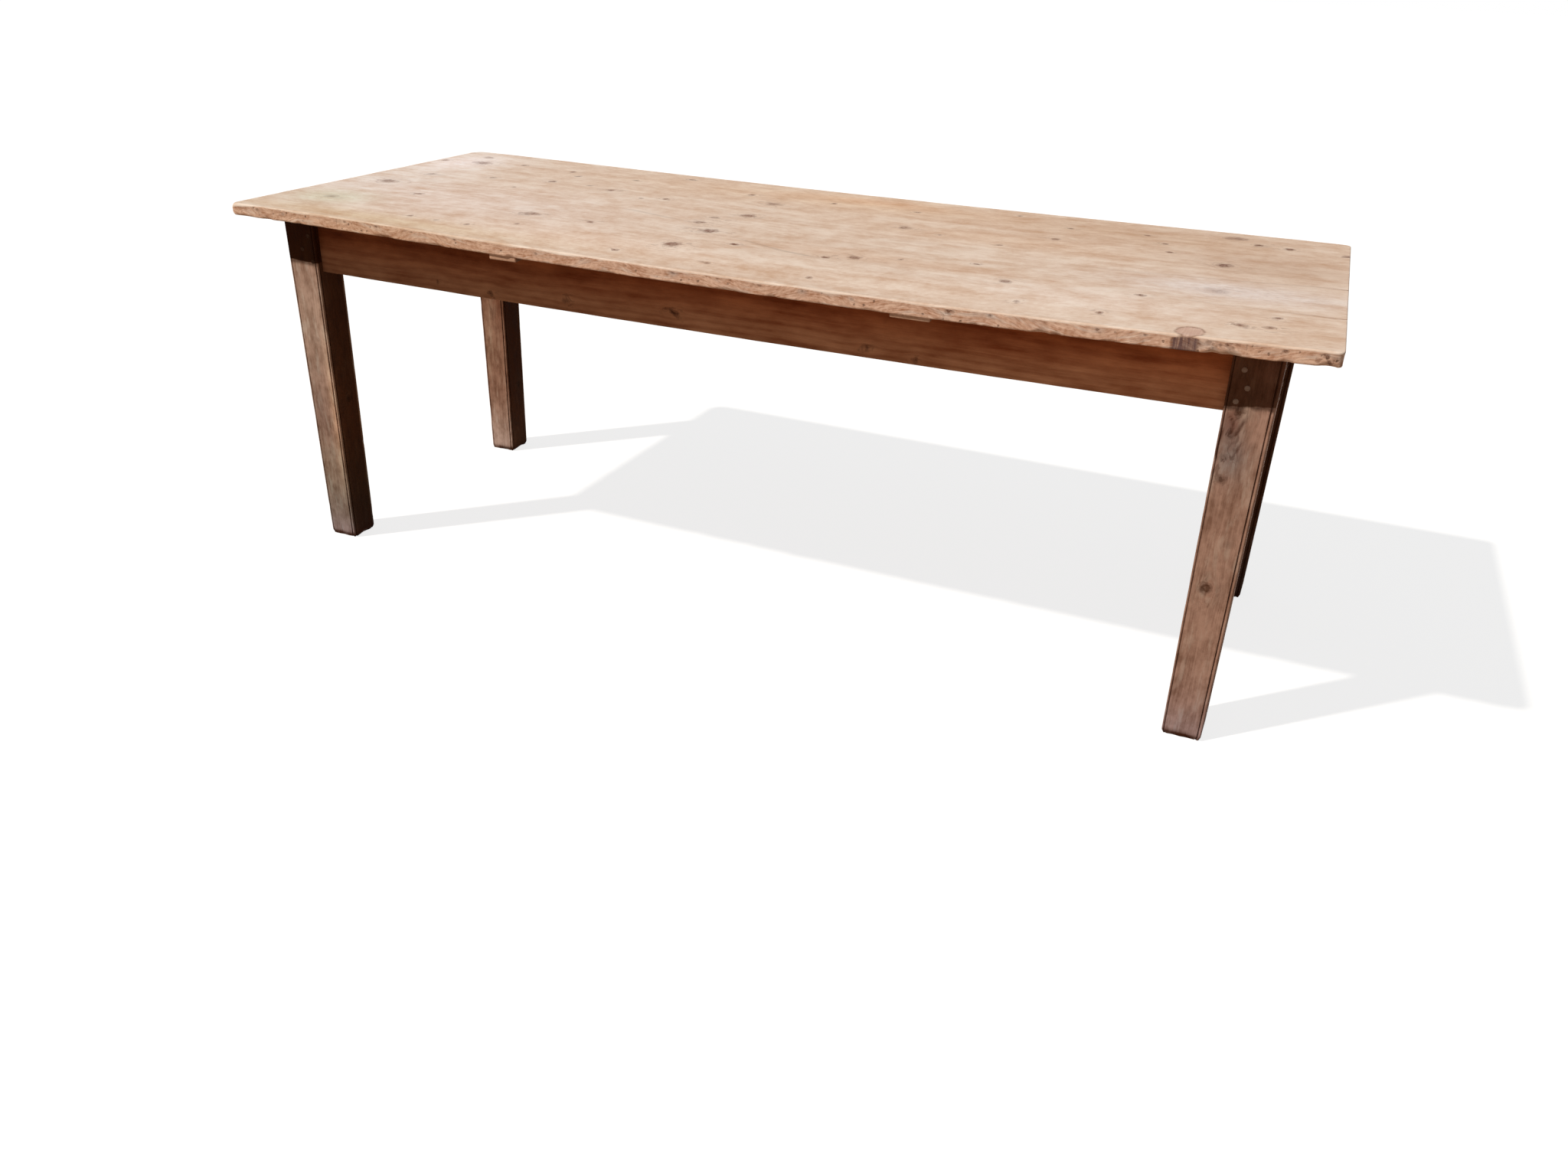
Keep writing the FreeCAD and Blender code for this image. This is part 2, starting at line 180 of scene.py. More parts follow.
# Beads on the left corners are this share of the others' width
LEFT_BEAD = 0.65
# How much wider a leg was left on its inner side, in mm
LEG_SPARE = {"front_right": 5.5}
# Curly grain on the legs' fronts: across from the middle of the leg, height, reach across and up in mm
LEG_CURL = {
    "front_right": ((-17, 590, 22, 38), (-20, 545, 20, 45), (-6, 300, 16, 40)),
    "back_left": ((4, 430, 14, 60),),
}
# Dark lines on the legs' fronts: points by height and across from the middle of the leg, each with the
# half width there, in mm
LEG_LINES = {
    "front_right": (
        ((634, 14, 0.6), (735, 14, 0.9)),
        ((583, -21, 0.2), (588, -17, 1.8), (598, -16, 2.4), (607, -19, 2.2), (616, -25, 1.9),
         (624, -32, 0.2)),
        ((578, -14, 0.2), (585, -11, 2.4), (596, -7, 4.0), (610, -2, 3.4), (620, -1, 0.2)),
        ((547, -7, 0.2), (554, -4, 2.0), (565, -1, 2.4), (577, 1, 0.2)),
        ((537, -30, 0.2), (545, -33, 2.4), (561, -34, 2.6), (576, -33, 2.4), (590, -31, 2.2),
         (596, -34, 0.2)),
    ),
}
# Knots and dents in the aprons' outer faces: along, height, radius in mm, how dark
APRON_KNOTS = {
    "front_apron": ((-505, 626, 6, 1.0), (-326, 637, 7, 0.9), (-79, 640, 6, 1.0), (-103, 649, 5, 0.9),
                    (-90, 644, 5, 0.9), (299, 632, 8, 0.8), (396, 622, 6, 0.8), (-630, 634, 5, 0.7)),
    "back_apron": ((-640, 680, 11, 0.8), (-150, 655, 8, 0.7), (310, 695, 10, 0.8), (720, 650, 7, 0.7)),
    "left_end_apron": ((-120, 690, 9, 0.8), (90, 650, 7, 0.7)),
    "right_end_apron": ((-60, 660, 8, 0.8), (150, 695, 10, 0.8)),
}

# Colours of one wood, and its patterns: lengths and widths in metres, and shares that say how much each
# pattern moves the colour from pale to dark. The bleached share is how far bleached patches show.
Wood = namedtuple(
    "Wood", "pale dark bleached knot dirt ring ring_share streak streak_share blotch blotch_share"
            " bleach bleached_share roughness relief mottle mottle_share",
    defaults=(7 * mm, 0.1, (0.30, 0.007), 0.8, (0.20, 0.07), 1.0, (0.17, 0.02), 0.0, 0.6, 0.3 * mm,
              (0.014, 0.011), 0.0))


def linear(code):
    """Turns an sRGB hex value to the linear colour that Blender's sockets take."""
    channels = [int(code[place:place + 2], 16) / 255 for place in (1, 3, 5)]
    return tuple(c / 12.92 if c <= 0.04045 else ((c + 0.055) / 1.055) ** 2.4 for c in channels) + (1.0,)


def tint(name, description, code):
    """Colour that a user would change."""
    return FloatVectorProperty(
        name=name, description=description, subtype="COLOR", size=4, min=0.0, max=1.0,
        default=linear(code))


def size(name, description, millimetres):
    """Length that a user would change."""
    return FloatProperty(
        name=name, description=description, subtype="DISTANCE", unit="LENGTH", min=0.0,
        default=millimetres * mm)


class PlankLook(bpy.types.PropertyGroup):
    """Sizes and colours of the plank."""
    length: size("Length", "Longest reach of the plank", 2172)
    left_skew: size("Left skew", "How far the front left corner stands in", 2)
    right_skew: size("Right skew", "How far the back right corner stands in", 26)
    front_left: size("Front left wear", "Radius of the worn front left corner", 14)
    back_left: size("Back left wear", "Radius of the worn back left corner", 30)
    front_right: size("Front right wear", "Radius of the worn front right corner", 13)
    back_right: size("Back right wear", "Radius of the worn back right corner", 15)
    arris: size("Arris wear", "How far the upper edges are rubbed round", 1.9)
    front_wear: size("Front wear", "Further wear of the front arris, where people sat", 2.4)
    left_wear: size("Left wear", "Further wear of the arris at the left end", 10)
    front_sag: size("Front sag", "How far the front edge hangs below the flat of the plank", 13)
    back_sag: size("Back sag", "How far the back edge hangs below the flat of the plank", 4.5)
    split: size("Split width", "Width of the drying splits at their open end", 3)
    pale: tint("Pale wood", "Early wood of the scrubbed upper face", "#EEDCCE")
    dark: tint("Tan wood", "Late wood and streaks of the upper face", "#CDAA90")
    bleached: tint("Bleached streaks", "Fibres that the scrubbing raised and the sun bleached", "#F3E6DB")
    edge_pale: tint("Edge, pale", "Early wood on the sawn edge", "#F1CBB3")
    edge_dark: tint("Edge, dark", "Late wood on the sawn edge", "#B68061")
    under: tint("Underside", "Wood that was never scrubbed", "#B98A5E")
    knot: tint("Knot", "Heart of a knot", "#774F3D")
    dirt: tint("Crack dirt", "Dust and wax in the cracks", "#5C3F30")
    branch: tint("Branch", "Sawn branch on the upper face", "#CBA899")
    edge_branch: tint("Edge, branch", "Sawn branch on the front edge", "#63494A")


class LegLook(bpy.types.PropertyGroup):
    """Sizes and colours of the legs."""
    bead: size("Bead", "Width of the bead on each corner", 5.2)
    quirk: size("Quirk", "Depth of the groove beside the bead", 2.4)
    end_taper: size("End taper", "How far the face towards the table's end comes in at the foot", 10.8)
    side_taper: size("Side taper", "How far the face towards the table's side comes in at the foot", 6.4)
    foot: size("Foot wear", "How far the foot's edges are worn", 5)
    pale: tint("Pale wood", "Early wood of the handled legs", "#B68F7C")
    dark: tint("Dark wood", "Late wood and streaks of the legs", "#876351")
    bleached: tint("Bleached fibres", "Fibres that the sun bleached, and the halos of knots", "#C9AE9C")
    # This colour is painted shade: the plank's shadow on the leg tops, and the shade on the faces turned
    # along the table
    stain: tint("Old stain", "Stain left on the tops and on the faces turned along the table", "#3F1F10")
    knot: tint("Knot", "Heart of a knot", "#553626")
    # This colour is dirt in the quirks, and dirt with painted shade round the feet
    dirt: tint("Grime", "Dirt in the quirks and round the feet", "#4C2818")


class RailLook(bpy.types.PropertyGroup):
    """Sizes and colours of the aprons, battens and glue blocks."""
    arris: size("Apron arris", "Wear on the aprons' lower edges", 2)
    sag: size("Apron sag", "How far the long aprons hang in the middle", 5)
    block_arris: size("Block arris", "How far the edges of the glue blocks are eased", 1.2)
    apron_pale: tint("Apron, pale", "Early wood under the old stain", "#E0A078")
    apron_dark: tint("Apron, dark", "Late wood under the old stain", "#9C5632")
    apron_knot: tint("Apron, knot", "Heart of a knot in an apron", "#4A2414")
    # This colour is painted shade under the plank and along the aprons' lower arris
    apron_painted_shade: tint("Apron, dust", "Dust under the plank and along the lower edges", "#2A140B")
    batten_pale: tint("Batten, pale", "Early wood of the battens", "#E4B99E")
    batten_dark: tint("Batten, dark", "Late wood of the battens", "#B88C71")
    batten_knot: tint("Batten, knot", "Heart of a knot in a batten", "#5A3E2A")
    # This colour is painted shade on the battens under the plank
    batten_painted_shade: tint("Batten, dust", "Dust on the battens", "#3A281B")
    block_pale: tint("Block, pale", "Early wood of the glue blocks", "#C79B6C")
    block_dark: tint("Block, dark", "Late wood of the glue blocks", "#93663E")


class FixingLook(bpy.types.PropertyGroup):
    """Sizes and colours of the pegs and nails."""
    peg_arris: size("Peg arris", "How far the edges of the pegs are eased", 0.9)
    nail_arris: size("Nail arris", "How far the edges of the nails are eased", 0.35)
    peg_pale: tint("Peg, pale", "End of a peg between its rings", "#A99082")
    peg_dark: tint("Peg, dark", "Rings of a peg's end", "#8A6B57")
    # Pegs in painted shade: those of the front left leg are darkened like the painted shadow on its top
    painted_shade_peg_pale: tint("Stained peg", "End of a peg under the old stain", "#533A2D")
    painted_shade_peg_dark: tint("Stained peg rings", "Rings of a peg's end under the old stain", "#3A2419")
    iron: tint("Iron", "Hammered iron where it is rubbed", "#6A625C")
    rust: tint("Rust", "Rust on the nails", "#6B3A22")


class StageLook(bpy.types.PropertyGroup):
    """Colours and strengths of the floor and the light."""
    floor: tint("Floor", "Pale floor", "#FFFFFF")
    bounce: tint("Floor bounce", "Colour of the light that the floor throws back at the table", "#A49587")
    sun: FloatProperty(name="Sun", description="Strength of the key light", min=0.0, default=3.05)
    sky: FloatProperty(name="Sky", description="Strength of the even light", min=0.0, default=0.17)
    shadow: FloatProperty(
        name="Shadow", description="How deep the shadow on the floor looks", subtype="FACTOR",
        min=0.0, max=1.0, default=0.3)


# The heart of the tree wanders this far to each side, in waves of this reach along the grain and
# both ways across it
HEART_WANDER = 12 * mm
HEART_WAVE = (500 * mm, 120 * mm, 120 * mm)
# Where the heart lies from the origin of a short, plain piece
PLAIN_HEART = (0.0, 50 * mm, -600 * mm)
# Length and width of fibres, drawn wider than real ones to show, and of the curls of grain round knots
FIBRE = (60 * mm, 1.6 * mm)
CURL = (30 * mm, 12 * mm)
# What the dark share, the rings' late wood and a noise pattern are on average
DARK_MEAN = 0.42
LATE_MEAN = 0.45
NOISE_MEAN = 0.5
# Saw marks on a branch and upright checks in a dry edge: reach along, across and up
SAW_MARK = (2.5 * mm, 40 * mm, 40 * mm)
DRY_CHECK = (8 * mm, 8 * mm, 50 * mm)
# Worm pits: how far apart, reach of the tears in their rims, how far these pull, and reach of the parts
# of the edge where the worm was busy
PIT_SPACING = 14 * mm
PIT_TEAR = (6 * mm, 6 * mm, 6 * mm)
PIT_PULL = (4 * mm, 4 * mm, 4 * mm)
PIT_PARTS = (160 * mm, 160 * mm, 160 * mm)
WOOD_IOR = 1.5
# Dust in the open pores swallows most of the gloss that smooth wood would have
DUSTY_GLOSS = 0.02


def add(tree, kind, *values, sockets=None, **settings):
    """Adds one node. Values go to its sockets in their order, or by name in sockets.

    A value is a number, a colour, or an output of another node.
    """
    made = tree.nodes.new("ShaderNode" + kind)
    for name, value in settings.items():
        setattr(made, name, value)
    for key, value in [*enumerate(values), *(sockets or {}).items()]:
        if isinstance(value, bpy.types.NodeSocket):
            tree.links.new(value, made.inputs[key])
        else:
            made.inputs[key].default_value = value
    return made.outputs


def uneven(tree, source, reach, detail, roughness=0.5, twist=0.0):
    """Noise with bumps of this reach along each axis of the source."""
    stretch = tuple(1 / length for length in reach)
    scaled = add(tree, "VectorMath", source, stretch, operation="MULTIPLY")[0]
    return add(tree, "TexNoise", sockets={
        "Vector": scaled, "Scale": 1.0, "Detail": detail, "Roughness": roughness, "Distortion": twist})


def figure(tree, place, wood, marked):
    """Late wood of the growth rings and the uneven patterns of the wood, by name."""
    wander = uneven(tree, place, HEART_WAVE, 2.0)["Color"]
    aside = add(
        tree, "VectorMath", wander, (0.0, 2 * HEART_WANDER, 2 * HEART_WANDER),
        (0.0, -HEART_WANDER, -HEART_WANDER), operation="MULTIPLY_ADD")[0]
    bent = add(tree, "VectorMath", place, aside, operation="ADD")[0]
    level = add(tree, "VectorMath", bent, (0.0, 1.0, 1.0), operation="MULTIPLY")[0]
    radius = add(tree, "VectorMath", level, operation="LENGTH")["Value"]
    turns = add(tree, "Math", radius, 2 * pi / wood.ring, operation="MULTIPLY")[0]
    wave = add(tree, "Math", turns, operation="SINE")[0]
    late = add(tree, "MapRange", wave, -0.4, 1.0, interpolation_type="SMOOTHSTEP")[0]
    patterns = {"late": late}
    kinds = [
        ("streak", bent, wood.streak, 4.0, 0.0), ("fibre", bent, FIBRE, 2.0, 0.0),
        ("blotch", place, wood.blotch, 6.0, 0.0), ("bleach", bent, wood.bleach, 5.0, 0.0)]
    if marked:
        kinds += [("lump", place, wood.mottle, 3.0, 0.0), ("curl", place, CURL, 3.0, 1.5)]
    for pattern, source, (length, width), detail, twist in kinds:
        patterns[pattern] = uneven(tree, source, (length, width, width), detail, 0.6, twist)["Fac"]
    return patterns


def clean_wood(tree, wood, patterns):
    """Share of dark wood, colour and relief that the patterns give."""
    shares = {"streak": wood.streak_share, "blotch": wood.blotch_share, "fibre": 0.5 * wood.streak_share}
    if "lump" in patterns:
        shares["lump"] = wood.mottle_share
    share = DARK_MEAN - LATE_MEAN * wood.ring_share - NOISE_MEAN * sum(shares.values())
    for pattern, weight in ({"late": wood.ring_share} | shares).items():
        share = add(tree, "Math", patterns[pattern], weight, share, operation="MULTIPLY_ADD")[0]
    colour = add(tree, "MixRGB", share, wood.pale, wood.dark, use_clamp=True)[0]
    bleached = add(
        tree, "MapRange", patterns["bleach"], 0.50, 0.68, 0.0, wood.bleached_share,
        interpolation_type="SMOOTHSTEP")[0]
    colour = add(tree, "MixRGB", bleached, colour, wood.bleached)[0]
    height = 0.0
    for pattern, weight in (("late", 2 * wood.ring_share), ("fibre", 0.6), ("streak", 0.8)):
        height = add(tree, "Math", patterns[pattern], weight, height, operation="MULTIPLY_ADD")[0]
    return share, colour, height


def marked_wood(tree, wood, patterns, colour, height):
    """Colour and relief with the piece's knots, broad tones, cracks, dirt and painted shade."""
    mark = {}
    for kind in ("knot", "knot_tone", "smear", "crack", "grime_and_shade"):
        mark[kind] = add(tree, "Attribute", attribute_name=kind)["Fac"]
    # Round a knot: pale halo and dark curls of grain
    for pattern, low, high, most, shade in (
            ("blotch", 0.46, 0.60, 0.75, wood.bleached), ("curl", 0.47, 0.38, 0.60, wood.knot)):
        near = add(tree, "MapRange", patterns[pattern], low, high, 0.0, most)[0]
        near = add(tree, "Math", near, mark["smear"], operation="MULTIPLY")[0]
        colour = add(tree, "MixRGB", near, colour, shade)[0]
    # Its heart has an uneven outline and growth rings
    near = add(tree, "Math", patterns["lump"], 2.4, mark["knot"], operation="MULTIPLY_ADD")[0]
    inside = add(tree, "MapRange", near, 1.6, 2.7, 1.0, 0.0, interpolation_type="SMOOTHSTEP")[0]
    rings = add(tree, "Math", near, 9.0, operation="MULTIPLY")[0]
    rings = add(tree, "Math", rings, operation="SINE")[0]
    heart = add(tree, "Math", rings, 0.14, 0.80, operation="MULTIPLY_ADD")[0]
    for share in (mark["knot_tone"], inside):
        heart = add(tree, "Math", heart, share, operation="MULTIPLY")[0]
    colour = add(tree, "MixRGB", heart, colour, wood.knot)[0]
    tone = add(tree, "Attribute", attribute_name="tone")["Color"]
    colour = add(tree, "MixRGB", 1.0, colour, tone, blend_type="MULTIPLY")[0]
    crack = add(tree, "Math", mark["crack"], 0.8, operation="MULTIPLY")[0]
    # Dirt in the legs' quirks, and painted shade on the aprons, the battens and round the feet
    grime_and_shade = add(tree, "Math", mark["grime_and_shade"], patterns["blotch"], operation="MULTIPLY")[0]
    grime_and_shade = add(tree, "Math", grime_and_shade, 1.7, operation="MULTIPLY", use_clamp=True)[0]
    for cover in (crack, grime_and_shade):
        colour = add(tree, "MixRGB", cover, colour, wood.dirt)[0]
    for sunk, weight in ((crack, -2.0), (heart, -0.8)):
        height = add(tree, "Math", sunk, weight, height, operation="MULTIPLY_ADD")[0]
    return colour, height


def sawn_branch(tree, wood, patterns, axes, branch, colour):
    """Colour with a branch sawn through: saw marks down the cut, inside a dark, broken rim of bark."""
    out = add(tree, "Attribute", attribute_name="branch")["Fac"]
    out = add(tree, "Math", patterns["lump"], 0.4, out, operation="MULTIPLY_ADD")[0]
    inside = add(tree, "MapRange", out, 1.10, 1.24, 0.9, 0.0)[0]
    lines = uneven(tree, axes, SAW_MARK, 2.0)["Fac"]
    lines = add(tree, "MapRange", lines, 0.36, 0.60, 0.55)[0]
    rim = add(tree, "Math", out, 1.2, operation="SUBTRACT")[0]
    rim = add(tree, "Math", rim, operation="ABSOLUTE")[0]
    rim = add(tree, "MapRange", rim, 0.0, 0.16, 0.75, 0.0)[0]
    broken = add(tree, "MapRange", patterns["curl"], 0.40, 0.58, 0.2)[0]
    for cover, share, shade in ((inside, lines, branch), (rim, broken, wood.knot)):
        cover = add(tree, "Math", cover, share, operation="MULTIPLY")[0]
        colour = add(tree, "MixRGB", cover, colour, shade)[0]
    return colour


def worm_eaten(tree, wood, axes, worm, colour, height):
    """Colour and relief with ragged pits where the worm was busy, and upright checks."""
    torn = uneven(tree, axes, PIT_TEAR, 1.0)["Color"]
    torn = add(tree, "VectorMath", torn, PIT_PULL, axes, operation="MULTIPLY_ADD")[0]
    cells = add(tree, "TexVoronoi", sockets={"Vector": torn, "Scale": 1 / PIT_SPACING})["Distance"]
    hole = add(tree, "MapRange", cells, 0.10, 0.20, 1.0, 0.0)[0]
    busy = uneven(tree, axes, PIT_PARTS, 1.0)["Fac"]
    busy = add(tree, "MapRange", busy, 0.44, 0.56, 0.0, worm)[0]
    hole = add(tree, "Math", hole, busy, operation="MULTIPLY")[0]
    check = uneven(tree, axes, DRY_CHECK, 1.0)["Fac"]
    check = add(tree, "MapRange", check, 0.73, 0.79, 0.0, 0.35 * worm)[0]
    hole = add(tree, "Math", hole, check, operation="MAXIMUM")[0]
    colour = add(tree, "MixRGB", hole, colour, wood.dirt)[0]
    height = add(tree, "Math", hole, -3.0, height, operation="MULTIPLY_ADD")[0]
    return colour, height


def pine(name, wood, grain="grain", worm=0.0, branch=None):
    """Pine under the finish that its colours give, with rings, streaks, knots, cracks, dirt and painted
    shade.

    The attribute named by grain gives each point as metres along the grain and two ways across it
    from the heart. Without one the piece is short, plain stuff, and its own axes serve.
    """
    material = bpy.data.materials.new(name)
    material.use_nodes = True
    tree = material.node_tree
    axes = add(tree, "TexCoord")["Object"]
    if grain:
        place = add(tree, "Attribute", attribute_name=grain)["Vector"]
    else:
        place = add(tree, "VectorMath", axes, PLAIN_HEART, operation="ADD")[0]
    patterns = figure(tree, place, wood, grain is not None)
    share, colour, height = clean_wood(tree, wood, patterns)
    if grain:
        colour, height = marked_wood(tree, wood, patterns, colour, height)
    if branch:
        colour = sawn_branch(tree, wood, patterns, axes, branch, colour)
    if worm:
        colour, height = worm_eaten(tree, wood, axes, worm, colour, height)
    gloss = add(tree, "MapRange", share, 0.0, 1.0, wood.roughness + 0.08, wood.roughness - 0.06)[0]
    bump = add(tree, "Bump", sockets={"Strength": 0.7, "Distance": wood.relief, "Height": height})[0]
    shader = tree.nodes["Principled BSDF"]
    for socket, value in (("Base Color", colour), ("Roughness", gloss), ("Normal", bump)):
        tree.links.new(value, shader.inputs[socket])
    shader.inputs["IOR"].default_value = WOOD_IOR
    shader.inputs["Specular IOR Level"].default_value = DUSTY_GLOSS
    return material


# Shift between one seed of the unevenness and the next
SEED_SHIFT = Vector((17.3, 7.1, 3.7))
# Where no knot is near, in radii of a knot
FAR_OFF = 9.0
# Edges are rounded in three steps, and shaded sharp from this angle
ROUNDING = tuple(radians(turn) for turn in (30, 60, 90))
SHARP_ANGLE = radians(40)


def rough(points, reach, seed):
    """Smooth unevenness from -1 to 1 at these points, with bumps of about this reach."""
    shift = SEED_SHIFT * seed
    scaled = np.asarray(points, float) / np.asarray(reach, float)
    values = [noise.noise(Vector(point) + shift) for point in scaled.reshape(-1, 3)]
    return np.array(values).reshape(scaled.shape[:-1])


def rounded(radius, inside):
    """How far a worn edge of this radius falls away, at points this far inside it."""
    return radius - np.sqrt(np.maximum(radius ** 2 - np.maximum(radius - inside, 0) ** 2, 0))


def patch(along, across, x, y, reach_x, reach_y):
    """Soft round patch at x and y with these reaches, all in mm: 1 in its middle."""
    return np.exp(-((along / mm - x) / reach_x) ** 2 - ((across / mm - y) / reach_y) ** 2)


def add_tone(tone, share, code, mean):
    """Moves a colour multiplier towards this colour from the mean one, by a share for each point."""
    target = np.array(linear(code)[:3]) / np.array(linear(mean)[:3])
    tone[:, :3] *= 1 + share[:, None] * (target - 1)


def knot_marks(along, across, knots):
    """Marks of the nearest knot to each point, and the bow of the grain round the knots.

    The marks are the distance in radii of the knot, how dark it is, and its resin along the grain.
    """
    nearest = np.full(along.shape, FAR_OFF)
    tone = np.zeros(along.shape)
    smear = np.zeros(along.shape)
    bow = np.zeros(along.shape)
    for x, y, radius, dark in knots:
        ahead = (along - x * mm) / (radius * mm)
        aside = (across - y * mm) / (radius * mm)
        distance = np.hypot(ahead / 1.08, aside)
        closer = distance < nearest
        nearest[closer] = distance[closer]
        tone[closer] = dark
        smear = np.maximum(smear, dark * np.exp(-(ahead / 2.8) ** 2 - (aside / 2.2) ** 2))
        bow += radius * mm * np.exp(-(ahead / 3) ** 2 - np.abs(aside) / 2.5) * np.tanh(aside)
    return {"knot": nearest, "knot_tone": tone, "smear": smear}, bow


def plain_marks(count):
    """Marks of clean wood, one for each point."""
    marks = {kind: np.zeros(count) for kind in ("knot_tone", "smear", "crack", "grime_and_shade")}
    return marks | {"knot": np.full(count, FAR_OFF), "tone": np.ones((count, 4))}


def worn_piece(node, points, faces, marks, materials, which=None):
    """Mesh with its wood marks and materials, which stands for one CAD node."""
    mesh = bpy.data.meshes.new("worn_" + node)
    mesh.from_pydata(np.asarray(points).tolist(), [], faces)
    kinds = {1: ("FLOAT", "value"), 3: ("FLOAT_VECTOR", "vector"), 4: ("FLOAT_COLOR", "color")}
    for name, values in marks.items():
        values = np.asarray(values, np.float32)
        kind, field = kinds[values.shape[1] if values.ndim > 1 else 1]
        mesh.attributes.new(name, kind, "POINT").data.foreach_set(field, values.ravel())
    for material in materials:
        mesh.materials.append(material)
    if which is not None:
        mesh.polygons.foreach_set("material_index", np.asarray(which, np.int32))
    mesh.shade_smooth()
    mesh.set_sharp_from_angle(angle=SHARP_ANGLE)
    mesh.update()
    made = bpy.data.objects.new("worn_" + node, mesh)
    bpy.context.scene.collection.objects.link(made)
    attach(made, "root")
    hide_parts(node)


def loft(rings):
    """Points and faces of a closed skin over rings of points, with a flat face on each end."""
    count, around = rings.shape[:2]
    index = np.arange(count * around).reshape(count, around)
    after = np.roll(index, -1, axis=1)
    quads = np.stack([index[:-1], after[:-1], after[1:], index[1:]], axis=-1).reshape(-1, 4)
    faces = quads.tolist() + [index[0, ::-1].tolist(), index[-1].tolist()]
    return rings.reshape(-1, 3), faces


def stations(length, fine, step):
    """Places along an edge: close together at both worn ends, then at an even step."""
    inner = np.linspace(fine[-1], length - fine[-1], round((length - 2 * fine[-1]) / step) + 1)
    return np.concatenate([fine[:-1], inner, length - fine[:-1][::-1]])


def edge_hang(look, x, from_front, from_back):
    """How far the plank's long edges hang here: the front one by most, right of the middle."""
    hang = 0
    for sag, inside, (middle, left, right) in (
            (look.front_sag, from_front, FRONT_HANG), (look.back_sag, from_back, BACK_HANG)):
        share = (x - middle) / np.where(x < middle, left, right)
        hang = hang + sag * np.exp(-(inside / HANG_REACH) ** 2) * np.maximum(1 - share ** 2, 0) ** 1.25
    return hang


def line_marks(along, across, lines, cell):
    """How dark these lines draw each point.

    A line finer than a cell of the mesh is drawn wider and fainter.
    """
    dark = np.zeros(len(along))
    for line in lines:
        places, asides, half_widths = np.array(line, float).T * mm
        offset = np.abs(across - np.interp(along, places, asides) - mm * np.sin(along / 0.031))
        half = np.interp(along, places, half_widths, left=0, right=0)
        drawn = np.maximum(half, cell)
        dark = np.maximum(dark, half / drawn * np.clip(1.2 - offset / drawn, 0, 1))
    return dark


def curl_marks(along, across, curls):
    """How strongly the grain curls at these points."""
    curl = np.zeros(len(along))
    for x, y, reach_x, reach_y, strength in curls:
        curl = np.maximum(curl, strength * patch(along, across, x, y, reach_x, reach_y))
    return curl


# The plank's mesh: steps in from its worn edges, then an even step
RIM_STEPS = np.array([0, 0.4, 1.1, 2.2, 3.8, 6.0, 9.0]) * mm
PLANK_STEP = 5 * mm
# How far in from an edge the arris is worn more, and the hollows of scrubbing are full
WEAR_REACH = 20 * mm
HOLLOW_INSET = 12 * mm
# Hollows of scrubbing: mean depth, reach along the plank, across it and up, and seed
HOLLOWS = (
    (0.35 * mm, (0.30, 0.11, 1), 2),
    (0.15 * mm, (0.08, 0.016, 1), 3),
)
# Where the long edges hang lowest, and how far to the left and right of there they hang
FRONT_HANG = (250 * mm, 1150 * mm, 840 * mm)
BACK_HANG = (0, 950 * mm, 950 * mm)
# How far in the long edges hang, and how far in the frame carries the underside
HANG_REACH = 90 * mm
CARRIED_INSET = 74 * mm
# How far in from the mouth of a split its walls follow the ragged edge
MOUTH_REACH = 30 * mm
# Least rounding of the lower arris, and the rounding deep inside a split
LEAST_RAGGED = 0.8 * mm
SPLIT_RAGGED = 0.2 * mm
# Further rounding of the lower arris at the left end, and its reach
LEFT_RAGGED = 7 * mm
LEFT_REACH = 15 * mm
# The front arris is painted paler this far over its corner, by this share: rubbed wood and a painted
# highlight
ARRIS_PALE_REACH = 4 * mm
ARRIS_PALE_AND_HIGHLIGHT = 0.10


